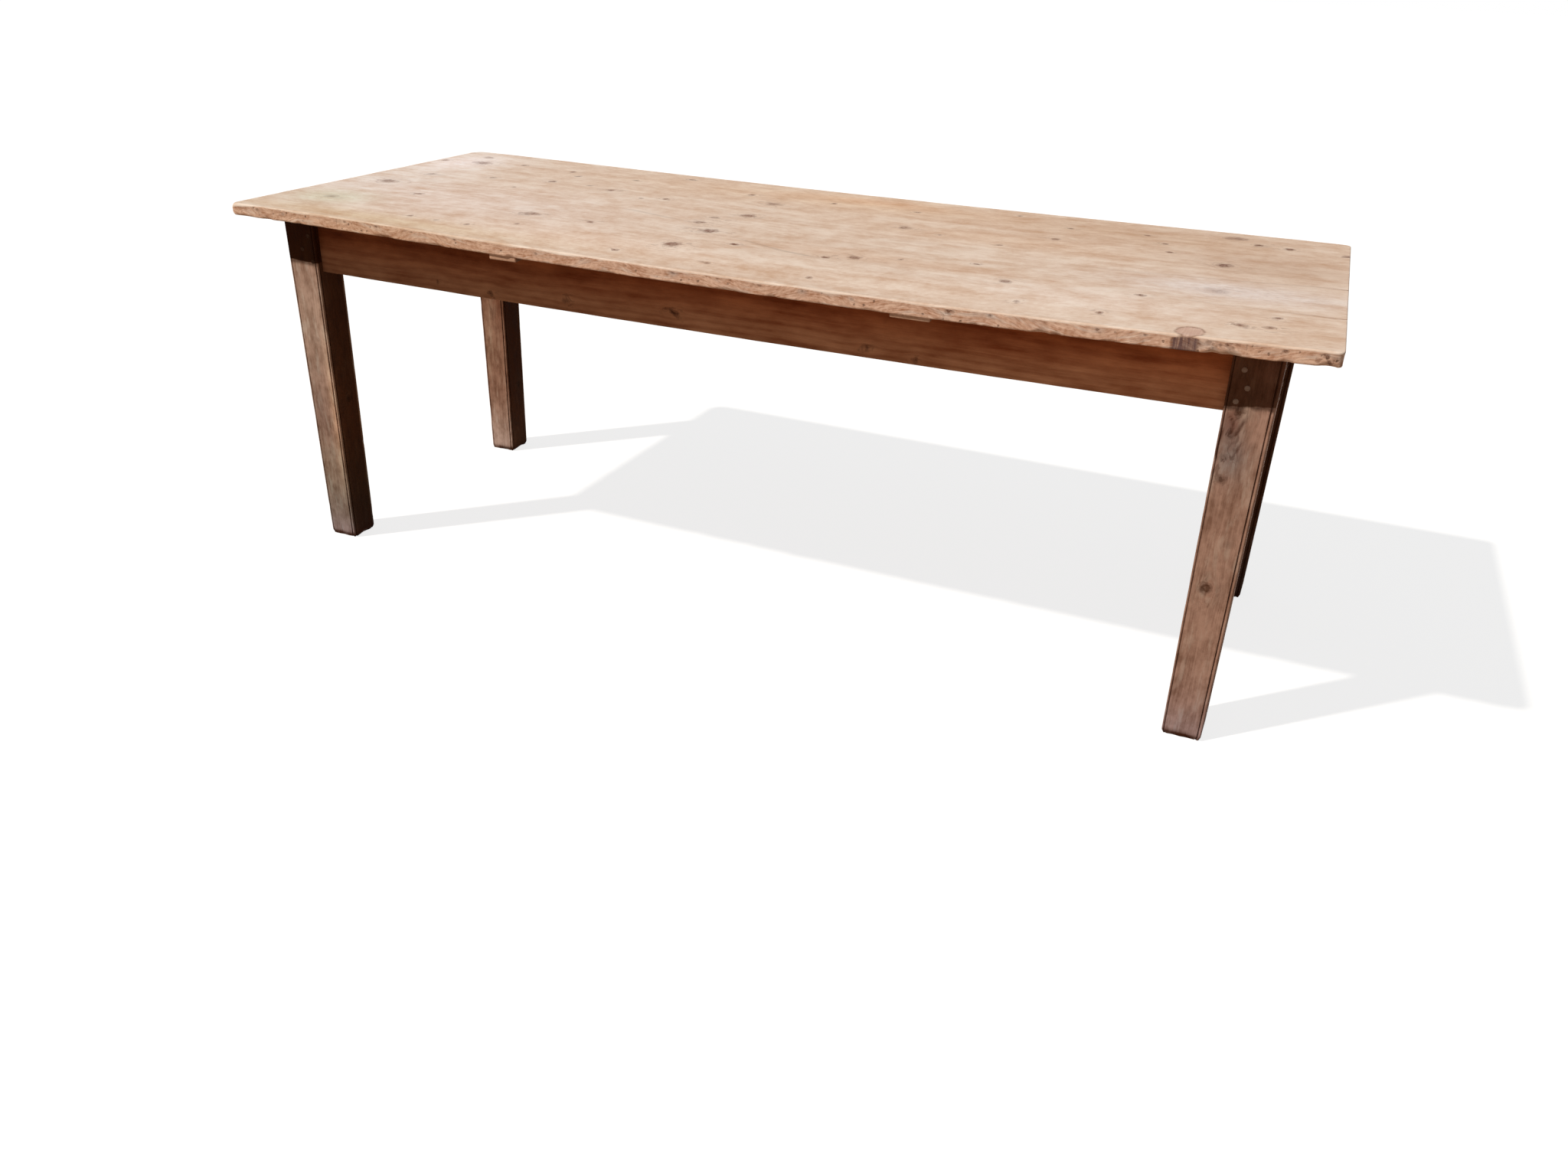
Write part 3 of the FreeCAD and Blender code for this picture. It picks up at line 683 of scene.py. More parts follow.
class REFECTORY_OT_plank(bpy.types.Operator):
    """One wide plank with rubbed arrises, chipped lower edge and drying splits"""
    bl_idname = "refectory.plank"
    bl_label = "Plank"

    def execute(self, context):
        look = context.scene.refectory_plank
        top = self.upper_face(look)
        self.open_splits(look, top)
        rim = self.rim(look, top)
        levels = self.edge_levels(look, top, rim)
        lower, upper = top.lower, top.upper
        quads = np.stack(
            [upper[:-1, :-1], upper[1:, :-1], lower[1:, 1:], lower[:-1, 1:]], axis=-1).reshape(-1, 4)
        first = len(top.points)
        count = len(rim.start)
        points = np.concatenate([top.points] + levels)
        sheets = np.vstack([rim.start, first + np.arange(len(levels) * count).reshape(-1, count)])
        after = np.roll(sheets, -1, axis=1)
        sides = np.stack([sheets[:-1], sheets[1:], after[1:], after[:-1]], axis=-1).reshape(-1, 4)
        faces = quads.tolist() + sides.tolist() + [sheets[-1, ::-1].tolist()]
        which = [0] * len(quads) + [1] * (len(sides) - count) + [2] * (count + 1)
        marks = self.wood_marks(look, top, rim, points, len(levels))
        worn_piece("top_plank", points, faces, marks, self.woods(look), which)
        return {"FINISHED"}

    def upper_face(self, look):
        """Grid of points over the upper face, rubbed, hollowed, and hanging at its long edges."""
        low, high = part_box("top_plank")
        half = look.length / 2
        width = high.y - low.y
        along = stations(look.length, RIM_STEPS, PLANK_STEP)
        across = stations(width, RIM_STEPS, PLANK_STEP)
        for y, _ in RIGHT_SPLITS + LEFT_SPLITS:
            across[np.argmin(np.abs(across + low.y - y * mm))] = y * mm - low.y
        share = across / width
        left = -half + look.left_skew * (1 - share)
        right = half - look.right_skew * share
        x = left[None, :] + along[:, None] / look.length * (right - left)[None, :]
        y = np.broadcast_to(across + low.y, x.shape).copy()
        from_left = np.broadcast_to(along[:, None], x.shape)
        from_front = np.broadcast_to(across[None, :], x.shape)
        from_right = look.length - from_left
        from_back = width - from_front
        inset = np.minimum.reduce([from_left, from_right, from_front, from_back])
        for x_sign, from_end, y_sign, from_side, radius in (
                (1, from_left, 1, from_front, look.front_left),
                (-1, from_right, 1, from_front, look.front_right),
                (1, from_left, -1, from_back, look.back_left),
                (-1, from_right, -1, from_back, look.back_right)):
            past_end = radius - from_end
            past_side = radius - from_side
            at_corner = (past_end > 0) & (past_side > 0)
            longer = np.maximum(past_end, past_side)
            ratio = np.ones(x.shape)
            ratio[at_corner] = longer[at_corner] / np.hypot(past_end, past_side)[at_corner]
            x += np.where(at_corner, x_sign * past_end * (1 - ratio), 0)
            y += np.where(at_corner, y_sign * past_side * (1 - ratio), 0)

        # Rubbed upper arris, and shallow hollows of about half a millimetre where the plank was scrubbed
        flat = np.stack([x, y, np.zeros(x.shape)], axis=-1)
        sat_at = np.clip(0.6 + rough(flat, 0.055, 8), 0, 1.4)
        worn = look.arris * (1 + 0.45 * rough(flat, 0.07, 1))
        worn += look.front_wear * np.exp(-from_front / WEAR_REACH) * sat_at
        worn += look.left_wear * np.exp(-from_left / WEAR_REACH)
        hollow = sum(depth * (1 + rough(flat, reach, seed)) for depth, reach, seed in HOLLOWS)
        hang = edge_hang(look, x, from_front, from_back)
        z = high.z - hang - rounded(worn, inset) - hollow * np.clip(inset / HOLLOW_INSET, 0, 1)
        points = np.stack([x, y, z], axis=-1).reshape(-1, 3)
        return SimpleNamespace(
            low=low, high=high, along=along, across=across, x=x, hang=hang, points=points)

    def open_splits(self, look, top):
        """Opens each drying split along a line of the grid, which then has a lower and an upper lip."""
        top.lower = np.arange(top.x.size).reshape(top.x.shape)
        top.upper = top.lower.copy()
        top.lips = {}
        for x_sign, splits in ((1, RIGHT_SPLITS), (-1, LEFT_SPLITS)):
            for y_split, length in splits:
                row = int(np.argmin(np.abs(top.across + top.low.y - y_split * mm)))
                end = top.x[-1 if x_sign > 0 else 0, row]
                share = 1 - np.abs(top.x[:, row] - end) / (length * mm)
                opened = np.flatnonzero(share > 0)[::x_sign]
                gape = np.zeros((len(opened), 3))
                gape[:, 1] = look.split / 2 * share[opened] * (1 + 0.3 * np.sin(opened * 2.1))
                lip = top.lower[opened, row]
                top.upper[opened, row] = len(top.points) + np.arange(len(opened))
                top.points = np.concatenate([top.points, top.points[lip] + gape])
                top.points[lip] -= gape
                top.lips[x_sign, row] = opened

    def end_steps(self, top, x_sign, rows):
        """Steps along one end of the plank, in and out of its splits: column, row, point, on the edge."""
        end = len(top.along) - 1 if x_sign > 0 else 0
        near, far = (top.lower, top.upper)[::x_sign]
        steps = []
        for row in rows:
            steps.append((end, row, near[end, row], True))
            if (x_sign, row) in top.lips:
                opened = top.lips[x_sign, row]
                tip = opened[0] - x_sign
                steps += [(column, row, near[column, row], False) for column in opened[-2::-1]]
                steps.append((tip, row, top.lower[tip, row], False))
                steps += [(column, row, far[column, row], False) for column in opened[:-1]]
                steps.append((end, row, far[end, row], True))
        return steps

    def rim(self, look, top):
        """Way round the plank: its points, their places in the grid, and which way is out."""
        columns, rows = top.x.shape
        steps = [(column, 0, top.lower[column, 0], True) for column in range(columns - 1)]
        steps += self.end_steps(top, 1, range(rows))
        steps += [
            (column, rows - 1, top.lower[column, -1], True) for column in range(columns - 2, 0, -1)]
        steps += self.end_steps(top, -1, range(rows - 1, 0, -1))
        column, row, start, on_edge = (np.array(values) for values in zip(*steps))
        skip = len(RIM_STEPS) - 1
        inner = top.lower[np.clip(column, skip, columns - 1 - skip), np.clip(row, skip, rows - 1 - skip)]
        edge = top.points[start]
        out = edge - top.points[inner]
        out[:, 2] = 0
        out /= np.maximum(np.linalg.norm(out, axis=1, keepdims=True), 1e-9)
        # The walls of a split go in with the edge at its mouth, so that they don't fold
        from_end = np.minimum(top.along[column], look.length - top.along[column])
        mouth = np.where(on_edge, 1, np.clip(1 - from_end / MOUTH_REACH, 0, 1))
        out[~on_edge] = np.outer(np.sign(edge[:, 0]) * mouth, (1, 0, 0))[~on_edge]
        hang = top.hang[column, row]
        return SimpleNamespace(start=start, edge=edge, out=out, mouth=mouth, on_front=row == 0, hang=hang)

    def edge_levels(self, look, top, rim):
        """Levels of points down the sawn edge and round its ragged lower arris, to the underside."""
        x, y, z = rim.edge.T
        flat = rim.edge * (1, 1, 0)
        ragged = (3.0 + 2.2 * rough(flat, 0.05, 4) + 1.4 * rough(flat, 0.016, 5)) * mm
        for x_chip, reach, chip in FRONT_CHIPS:
            fall = np.clip(1 - np.abs(x / mm - x_chip) / reach, 0, 1)
            ragged += np.where(rim.on_front, chip * mm * np.sqrt(fall), 0)
        ragged += LEFT_RAGGED * np.exp(-(x + look.length / 2) / LEFT_REACH)
        ragged = SPLIT_RAGGED + rim.mouth * (np.maximum(ragged, LEAST_RAGGED) - SPLIT_RAGGED)
        bottom = top.low.z - rim.hang + 0.05 * mm
        levels = []
        for share in np.linspace(0.1, 1.0, 10):
            spot = np.stack([x, y, z + (bottom + ragged - z) * share], axis=-1)
            sawn = 0.5 * mm * (1 + rough(spot, (0.045, 0.045, 0.02), 6))
            pulled = sawn * min(1, 4 * share * (1.15 - share))
            levels.append(spot - rim.out * pulled[:, None])
        for turn in ROUNDING:
            spot = np.stack([x, y, bottom + ragged * (1 - sin(turn))], axis=-1)
            pulled = 0.3 * mm + 0.8 * ragged * (1 - cos(turn))
            levels.append(spot - rim.out * pulled[:, None])
        # Under the overhang the plank rises to where the aprons carry it
        carried = levels[-1] - rim.out * mm
        carried[:, 1] -= CARRIED_INSET * np.sign(carried[:, 1]) * np.clip(rim.hang / mm, 0, 1)
        carried[:, 2] = top.low.z
        return levels + [carried]

    def wood_marks(self, look, top, rim, points, count):
        """Knots, cracks, tones and grain of the plank. The edge's points come last, in count levels."""
        low, high = top.low, top.high
        first = len(top.points)
        marks = plain_marks(len(points))
        px, py, pz = points.T
        knots, bow = knot_marks(px, py, PLANK_KNOTS)
        marks.update(knots)
        heart_x, heart_y = np.array(HEART_LINE, float).T * mm
        from_heart = py - bow - np.interp(px, heart_x, heart_y)
        marks["grain"] = np.stack([px, from_heart, pz - high.z + 0.05], axis=-1)
        marks["crack"] = line_marks(px, py, CRACKS, 4 * mm)
        marks["smear"] = np.maximum(marks["smear"], curl_marks(px, py, PLANK_CURL))
        below = pz - high.z + edge_hang(look, px, py - low.y, high.y - py)
        specks = [(x, -deep, radius, dark) for x, deep, radius, dark in EDGE_KNOTS]
        on_front = np.tile(rim.on_front, count)
        for kind, values in knot_marks(px[first:], below[first:], specks)[0].items():
            marks[kind][first:] = np.where(on_front, values, marks[kind][first:])
        for x, y, reach_x, reach_y, code, strength in PLANK_TONES:
            add_tone(marks["tone"], strength * patch(px, py, x, y, reach_x, reach_y), code, PLANK_MEAN)
        # Rubbed wood and a painted highlight make the front arris paler
        rubbed = np.exp(-((py - low.y) / ARRIS_PALE_REACH) ** 2 - (below / ARRIS_PALE_REACH) ** 2)
        marks["tone"][:, :3] *= 1 + ARRIS_PALE_AND_HIGHLIGHT * rubbed[:, None]
        # On the long edges the rings come out in slanting strokes, because the grain swings past the
        # knots. On the ends they are arcs round the heart.
        on_end = np.zeros(len(points))
        on_end[rim.start] = np.clip(np.abs(rim.out[:, 0]) * 3 - 1.5, 0, 1)
        on_end[first:] = np.tile(on_end[rim.start], count)
        line = np.stack([px, py * 0, py * 0], axis=-1)
        swing = 0.045 * rough(line, 0.13, 7) + 0.003 * rough(line, 0.03, 9)
        stroke = np.stack([px, px * 0, 0.5 + pz - low.z + swing], axis=-1)
        marks["edge_grain"] = np.where(on_end[:, None] > 0.5, marks["grain"], stroke)
        x_top, y_top, half_x, half_y = np.array(BRANCH_TOP) * mm
        x_edge, half_edge = np.array(BRANCH_EDGE) * mm
        marks["branch"] = np.hypot((px - x_top) / half_x, (py - y_top) / half_y)
        on_edge = np.abs(px[first:] - x_edge) / half_edge
        marks["branch"][first:] = np.where(py[first:] < 0, on_edge, FAR_OFF)
        return marks

    def woods(self, look):
        """Finishes of the upper face, the edge and the underside."""
        # Scrubbed pine: raised late wood gone pale in the sun, dull and dry, with almost no gloss
        top = pine("scrubbed_sun_bleached_pine", Wood(
            look.pale, look.dark, look.bleached, look.knot, look.dirt, ring_share=0.08,
            streak=(0.40, 0.03), streak_share=1.2, blotch=(0.075, 0.055), blotch_share=1.8,
            bleach=(0.12, 0.07), bleached_share=0.4, relief=0.25 * mm, mottle_share=0.9),
            branch=look.branch)
        # Sawn pine edge: rings cut across in slanting strokes, torn and full of pits
        side = pine("sawn_worn_pine_edge", Wood(
            look.edge_pale, look.edge_dark, look.bleached, look.knot, look.dirt, ring=3.5 * mm,
            ring_share=0.05, streak=(0.025, 0.003), streak_share=1.3, blotch=(0.05, 0.012),
            blotch_share=1.8, bleach=(0.05, 0.008), bleached_share=0.4, relief=0.6 * mm,
            mottle=(0.009, 0.005), mottle_share=1.9),
            grain="edge_grain", worm=0.6, branch=look.edge_branch)
        # Rough sawn pine that saw neither scrubbing nor sun
        raw = pine("rough_sawn_pine_underside", Wood(
            look.under, look.edge_dark, look.under, look.knot, look.dirt, ring=8 * mm, ring_share=0.45,
            blotch_share=0.8, roughness=0.68, relief=0.5 * mm), grain=None)
        return top, side, raw


# Points between two corners of a leg's ring
FACE_POINTS = 17
# Worn foot: how high the wear and the dirt with painted shade go, how far the worst of it lifts the edge
SCUFF_HEIGHT = 8 * mm
LIFT_HEIGHT = 9 * mm
FOOT_LIFT = 2.2 * mm
DIRT_AND_SHADE_HEIGHT = 8.5 * mm
# Knocks in the beads
KNOCK = 1.5 * mm
# Painted shade on the inner faces fades beside the front bead and near the foot: how far each reaches,
# and the share of it that is left on beads, so that the beads carry a painted highlight
SHADE_FADE_REACH = 14 * mm
FOOT_SHADE_FADE_REACH = 300 * mm
BEAD_SHADE_SHARE = 0.25
# Feet have gone grey on wet floors: how high, and the shift of red, green and blue
GREY_HEIGHT = 110 * mm
GREY_SHIFT = np.array([-0.07, -0.01, 0.15])


class REFECTORY_OT_legs(bpy.types.Operator):
    """Four tapered legs with a bead on each corner"""
    bl_idname = "refectory.legs"
    bl_label = "Legs"

    def execute(self, context):
        look = context.scene.refectory_legs
        # Handled pine: wax and dirt in the pores have turned it grey brown, with a low sheen on the beads
        material = pine("hand_planed_handled_pine", Wood(
            look.pale, look.dark, look.bleached, look.knot, look.dirt, ring=5 * mm, ring_share=0.03,
            streak=(0.10, 0.004), streak_share=1.5, blotch=(0.05, 0.022), blotch_share=2.4,
            bleach=(0.06, 0.014), bleached_share=0.45, mottle_share=1.2))
        for number, name in enumerate(LEG_KNOTS):
            self.leg(look, name, number, material)
        return {"FINISHED"}

    def leg(self, look, name, number, material):
        """One leg, from its worn foot to its top in painted shade."""
        low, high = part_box(name + "_leg")
        low.x -= LEG_SPARE.get(name, 0) * mm
        profile = self.corner_profile(look)
        sharp = self.rings(look, name, low, high, profile)
        # Each quarter of a ring is one corner's profile and the points of the face that follows it
        quarter, place = np.divmod(np.arange(sharp.shape[1]), len(profile) + FACE_POINTS)
        on_bead = (place > 2) & (place < len(profile) - 3)
        in_quirk = np.isin(place, (2, 3, len(profile) - 4, len(profile) - 3))
        side = np.array(["front", "right", "back", "left"])[(quarter - (place < len(profile) / 2)) % 4]
        rings = self.worn(look, sharp, on_bead, number)
        points, faces = loft(rings)
        across = points - sharp.mean(axis=(0, 1))
        side, on_bead, in_quirk = (np.tile(values, len(rings)) for values in (side, on_bead, in_quirk))
        marks = self.wood_marks(name, number, points, across, side)
        # Dirt in the quirks, and dirt with painted shade round the worn feet
        foot_dirt_and_shade = 2.2 * np.exp(-(points[:, 2] / DIRT_AND_SHADE_HEIGHT) ** 2)
        marks["grime_and_shade"] = np.clip(0.70 * in_quirk + 0.05 * on_bead + foot_dirt_and_shade, 0, 1)
        from_front = points[:, 1] - low.y
        # Painted shade: the plank's shadow on the top and the shade on the face turned along the table
        # darken the colour by this share
        shade_share = self.painted_shade_share(name, number, points, across, side, on_bead, from_front)
        marks["tone"][:, :3] *= (np.array(look.stain[:3]) / np.array(look.pale[:3])) ** shade_share[:, None]
        for aside, reach, height, reach_up, code in LEG_TONES[name]:
            share = patch(across[:, 0], points[:, 2], aside, height, reach, reach_up)
            add_tone(marks["tone"], share, code, LEG_MEAN)
        grey = np.exp(-(points[:, 2] / GREY_HEIGHT) ** 2)
        marks["tone"][:, :3] *= 1 + grey[:, None] * GREY_SHIFT
        worn_piece(name + "_leg", points, faces, marks, (material,))

    def corner_profile(self, look):
        """Quirk, bead and quirk at one corner, as insets from the two faces that meet there."""
        radius = look.bead / 2
        shut = look.bead + look.quirk
        floor = shut - look.quirk / 4
        flat = shut + look.quirk / 2
        profile = [(flat, 0), (shut, 0), (floor, look.quirk)]
        for turn in np.radians(np.linspace(-24, -246, 12)):
            profile.append((radius + radius * cos(turn), radius + radius * sin(turn)))
        return np.array(profile + [(look.quirk, floor), (0, shut), (0, flat)])

    def rings(self, look, name, low, high, profile):
        """Rings from the foot to the top, each with four beaded corners, before any wear.

        They are closest together at the foot and where the painted shadow on the top ends.
        """
        heights = np.concatenate([
            np.array([0, 0.8, 2, 4, 7]) * mm, np.linspace(11 * mm, 622 * mm, 170),
            np.arange(623, 650) * mm, np.linspace(654 * mm, high.z, 22)])
        taper = np.outer(1 - heights / high.z, (look.end_taper, look.side_taper))
        x_pair = np.array([low.x, high.x]) + np.outer(taper[:, 0], ("left" in name, -("right" in name)))
        y_pair = np.array([low.y, high.y]) + np.outer(taper[:, 1], ("front" in name, -("back" in name)))
        between = np.linspace(0, 1, FACE_POINTS + 2)[1:-1, None]
        rings = []
        for x_ends, y_ends, z in zip(x_pair, y_pair, heights):
            corners = []
            for xi, yi in ((0, 0), (1, 0), (1, 1), (0, 1)):
                steps = (profile if xi != yi else profile[:, ::-1]) * (1 if xi else LEFT_BEAD)
                corners.append(np.array([x_ends[xi], y_ends[yi]]) + steps * (1 - 2 * xi, 1 - 2 * yi))
            ring = []
            for corner, onward in zip(corners, corners[1:] + corners[:1]):
                ring += [corner, corner[-1] + (onward[0] - corner[-1]) * between]
            ring = np.concatenate(ring)
            rings.append(np.column_stack([ring, np.full(len(ring), z)]))
        return np.array(rings)

    def worn(self, look, rings, on_bead, number):
        """Rings with planed faces a little uneven, beads knocked here and there, and the foot worn."""
        inward = rings.mean(axis=1, keepdims=True) - rings
        inward[..., 2] = 0
        inward /= np.linalg.norm(inward, axis=2, keepdims=True)
        z = rings[..., 2]
        depth = 0.2 * mm * (1 + rough(rings, (0.03, 0.03, 0.09), number + 11))
        knocks = np.clip(rough(rings, (0.02, 0.02, 0.035), number + 21) - 0.25, 0, 1)
        depth += np.where(on_bead, KNOCK * knocks, 0)
        scuffed = np.clip(1 - z / SCUFF_HEIGHT, 0, 1) * (0.8 + 0.6 * rough(rings, 0.018, number + 31))
        depth += look.foot * np.clip(scuffed, 0, 1.2)
        rings = rings + inward * depth[..., None]
        lifted = np.clip(1.6 * rough(rings, 0.022, number + 41), 0, 1)
        rings[..., 2] += FOOT_LIFT * np.clip(1 - z / LIFT_HEIGHT, 0, 1) * lifted
        return rings

    def wood_marks(self, name, number, points, across, side):
        """Knots, curls, dark lines and grain of a leg, face by face."""
        marks = plain_marks(len(points))
        pz = points[:, 2]
        bow = np.zeros(len(points))
        for face in ("front", "right", "back", "left"):
            here = side == face
            lateral = across[here, 0 if face in ("front", "back") else 1]
            knots = [
                (up, aside, radius, dark) for on, aside, up, radius, dark in LEG_KNOTS[name] if on == face]
            found, bow[here] = knot_marks(pz[here], lateral, knots)
            for kind, values in found.items():
                marks[kind][here] = values
        curls = [(up, aside, reach_up, reach, 1) for aside, up, reach, reach_up in LEG_CURL.get(name, ())]
        on_front = side == "front"
        marks["smear"] = np.maximum(marks["smear"], curl_marks(pz, across[:, 0], curls) * on_front)
        marks["crack"] = line_marks(pz, across[:, 0], LEG_LINES.get(name, ()), 2 * mm) * on_front
        # Each leg was sawn at its own distance from the heart
        heart_x = 0.028 + 0.009 * number
        heart_y = 0.046 - 0.012 * number
        from_heart = across[:, :2] + (heart_x, heart_y) - bow[:, None]
        marks["grain"] = np.column_stack([pz, from_heart])
        return marks

    def painted_shade_share(self, name, number, points, across, side, on_bead, from_front):
        """Share of painted shade: the plank's shadow on the top, and the shade on the face turned along
        the table.
        """
        top, inner, rubbed, end, rise = LEG_PAINTED_SHADE[name]
        pz = points[:, 2]
        ragged = 2.5 * rough(points, (0.012, 0.012, 0.1), number + 51)
        above = pz / mm - end - rise * across[:, 0] / mm + ragged
        turned = side == ("right" if "left" in name else "left")
        # The painted shade fades beside the front bead and near the foot, and the beads keep less of it as
        # a painted highlight
        inner = inner - rubbed * np.exp(-from_front / SHADE_FADE_REACH) - 0.10 * np.exp(-(pz / FOOT_SHADE_FADE_REACH) ** 2)
        inner = inner * turned * np.where(on_bead, BEAD_SHADE_SHARE, 1)
        return np.maximum(top * np.clip(0.5 + above / 1.5, 0, 1), inner)


BATTENS = ("cross_batten_left", "cross_batten_right")
# Walls of a batten's notch lean by this much, so that no two rings of the apron coincide
NOTCH_LEAN = 0.05 * mm
# The aprons run this far into the legs
APRON_SEAT = 2 * mm
# Marks of an apron are on its outer face, up to this far in
OUTER_SKIN = 4 * mm
# Painted shade under the plank reaches this far down, and painted shade along the lower arris this far up
UNDER_PLANK_SHADE_DEPTH = 70 * mm
ARRIS_SHADE_HEIGHT = 2 * mm
# Painted shade of the plank's overhang on the aprons' upper part: height where it begins, how soon it
# is full, and how much of red, green and blue it takes
SHADE_FROM = 640 * mm
SHADE_OVER = 60 * mm
SHADE = np.array([0.17, 0.46, 0.64])
# Steps in from a batten's worn end, wear of the end and of the arris, and how far in the ends hang
BATTEN_STEPS = np.array([0, 0.4, 1.2, 2.5, 5]) * mm
BATTEN_STEP = 9 * mm
BATTEN_END = 2.0 * mm
BATTEN_ARRIS = 1.5 * mm
BATTEN_HANG = 70 * mm
# The battens are painted in shade, except this far in from their ends, which are left lit
BATTEN_LIT_END = 4 * mm


def rail_rings(places, width, z_lows, z_tops, arris, seed):
    """Rings along a rail in its own axes: along, in from the outer face, and height."""
    rings = []
    for place, z_low, z_top in zip(places, z_lows, z_tops):
        worn = arris * (1 + 0.6 * noise.noise(Vector((place / 0.05, seed, 0))))
        heights = np.linspace(z_top, z_low + worn, 14)
        faced = [0.2 * mm * (1 + noise.noise(Vector((place / 0.11, z / 0.03, seed)))) for z in heights]
        ring = list(zip(faced, heights))
        ring += [(worn * (1 - cos(turn)), z_low + worn * (1 - sin(turn))) for turn in ROUNDING]
        ring += [(inside, z_low) for inside in np.linspace(worn, width - worn, 5)[1:-1]]
        ring += [(width - worn * (1 - sin(turn)), z_low + worn * (1 - cos(turn))) for turn in ROUNDING]
        ring += [(width, z) for z in np.linspace(z_low + worn, z_top, 6)[1:]]
        ring += [(inside, z_top) for inside in np.linspace(width, 0, 4)[1:-1]]
        rings.append([(place, inside, z) for inside, z in ring])
    return np.array(rings)


class REFECTORY_OT_aprons(bpy.types.Operator):
    """Four aprons between the legs, the long ones notched for the battens"""
    bl_idname = "refectory.aprons"
    bl_label = "Aprons"

    def execute(self, context):
        look = context.scene.refectory_rails
        # Stained pine: old brown stain soaked into the early wood, under a thin rubbed wax
        material = pine("stained_waxed_pine", Wood(
            look.apron_pale, look.apron_dark, look.apron_pale, look.apron_knot, look.apron_painted_shade,
            ring=9 * mm, ring_share=0.2, streak_share=0.8, blotch=(0.10, 0.035), blotch_share=1.9,
            roughness=0.5, relief=0.2 * mm))
        for number, node in enumerate(APRON_KNOTS):
            self.apron(look, node, number, material)
        return {"FINISHED"}

    def apron(self, look, node, number, material):
        """One apron, laid along the table or across it."""
        low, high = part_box(node)
        long_one = "end" not in node
        axis, other = (0, 1) if long_one else (1, 0)
        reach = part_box("back_right_leg")[0][axis] + APRON_SEAT
        places = np.linspace(-reach, reach, 200 if long_one else 70)
        notches = [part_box(batten) for batten in BATTENS] if long_one else []
        for start, end in notches:
            places = np.append(places, [start.x, start.x + NOTCH_LEAN, end.x - NOTCH_LEAN, end.x])
        places.sort()
        z_tops = np.full(len(places), high.z)
        for start, end in notches:
            z_tops[(places > start.x) & (places < end.x)] = start.z
        z_lows = low.z - (look.sag if long_one else 0) * (1 - (places / reach) ** 2)
        rings = rail_rings(places, high[other] - low[other], z_lows, z_tops, look.arris, number + 3.5)
        points, faces = loft(rings)
        along, inside, height = points.T
        marks = plain_marks(len(points))
        knots, bow = knot_marks(along, height, APRON_KNOTS[node])
        for kind, values in knots.items():
            marks[kind] = np.where(inside < OUTER_SKIN, values, marks[kind])
        from_heart = height - high.z - bow + 0.02 + 0.035 * number
        marks["grain"] = np.stack([along, inside + 0.09, from_heart], axis=-1)
        # Painted shade darkens the apron under the plank and along its lower arris
        marks["grime_and_shade"] = 0.6 * np.clip((height - high.z) / UNDER_PLANK_SHADE_DEPTH + 1, 0, 1)
        marks["grime_and_shade"] += 0.5 * np.exp(-(height - np.interp(along, places, z_lows)) / ARRIS_SHADE_HEIGHT)
        # Painted shade of the plank's overhang darkens and reddens the upper part, and painted light makes
        # the right half lighter
        upper = np.clip((height - SHADE_FROM) / SHADE_OVER, 0, 1)
        marks["tone"][:, :3] *= (0.90 + 0.30 * along[:, None] / reach) * (1 - upper[:, None] * SHADE)
        placed = np.empty(points.shape)
        placed[:, axis] = along
        front_or_left = node.startswith(("front", "left"))
        placed[:, other] = low[other] + inside if front_or_left else high[other] - inside
        placed[:, 2] = height
        worn_piece(node, placed, faces, marks, (material,))


class REFECTORY_OT_battens(bpy.types.Operator):
    """Two battens across the plank, with their ends worn"""
    bl_idname = "refectory.battens"
    bl_label = "Battens"

    def execute(self, context):
        look = context.scene.refectory_rails
        # Planed pine, dry and dull, painted in shade but for its ends
        material = pine("planed_pine_in_painted_shade", Wood(
            look.batten_pale, look.batten_dark, look.batten_pale, look.batten_knot, look.batten_painted_shade,
            ring=6 * mm, ring_share=0.1, blotch=(0.08, 0.03), roughness=0.62))
        for number, node in enumerate(BATTENS):
            low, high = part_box(node)
            places = stations(high.y - low.y, BATTEN_STEPS, BATTEN_STEP) + low.y
            width = high.x - low.x
            level = np.ones(len(places))
            rings = rail_rings(places, width, low.z * level, high.z * level, BATTEN_ARRIS, number + 9.2)
            from_end = np.minimum(places - low.y, high.y - places)
            lift = rounded(BATTEN_END, from_end)
            share = (high.z - rings[..., 2]) / (high.z - low.z)
            rings[..., 2] += lift[:, None] * share
            # The ends hang with the edges of the plank, as far as the aprons
            middle = (low.x + high.x) / 2
            hang = edge_hang(context.scene.refectory_plank, middle, places - low.y, high.y - places)
            rings[..., 2] -= (hang * 0.45 * np.clip(1.1 - from_end / BATTEN_HANG, 0, 1))[:, None]
            rings[..., 1] += lift[:, None] * 0.6 * np.sign(width / 2 - rings[..., 1])
            points, faces = loft(rings)
            along, inside, height = points.T
            marks = plain_marks(len(points))
            from_heart = height - low.z + 0.06 + 0.02 * number
            marks["grain"] = np.stack([along, inside + 0.03, from_heart], axis=-1)
            from_end = np.minimum(along - low.y, high.y - along)
            # Painted shade of the plank covers each batten but for its ends
            marks["grime_and_shade"] = 0.8 * np.clip(from_end / BATTEN_LIT_END - 0.2, 0, 1)
            placed = np.stack([low.x + inside, along, height], axis=-1)
            worn_piece(node, placed, faces, marks, (material,))
        return {"FINISHED"}


# Steps of an eased arris, and the least angle of an edge that is eased
EASED_STEPS = 3
EASED_ANGLE = radians(20)


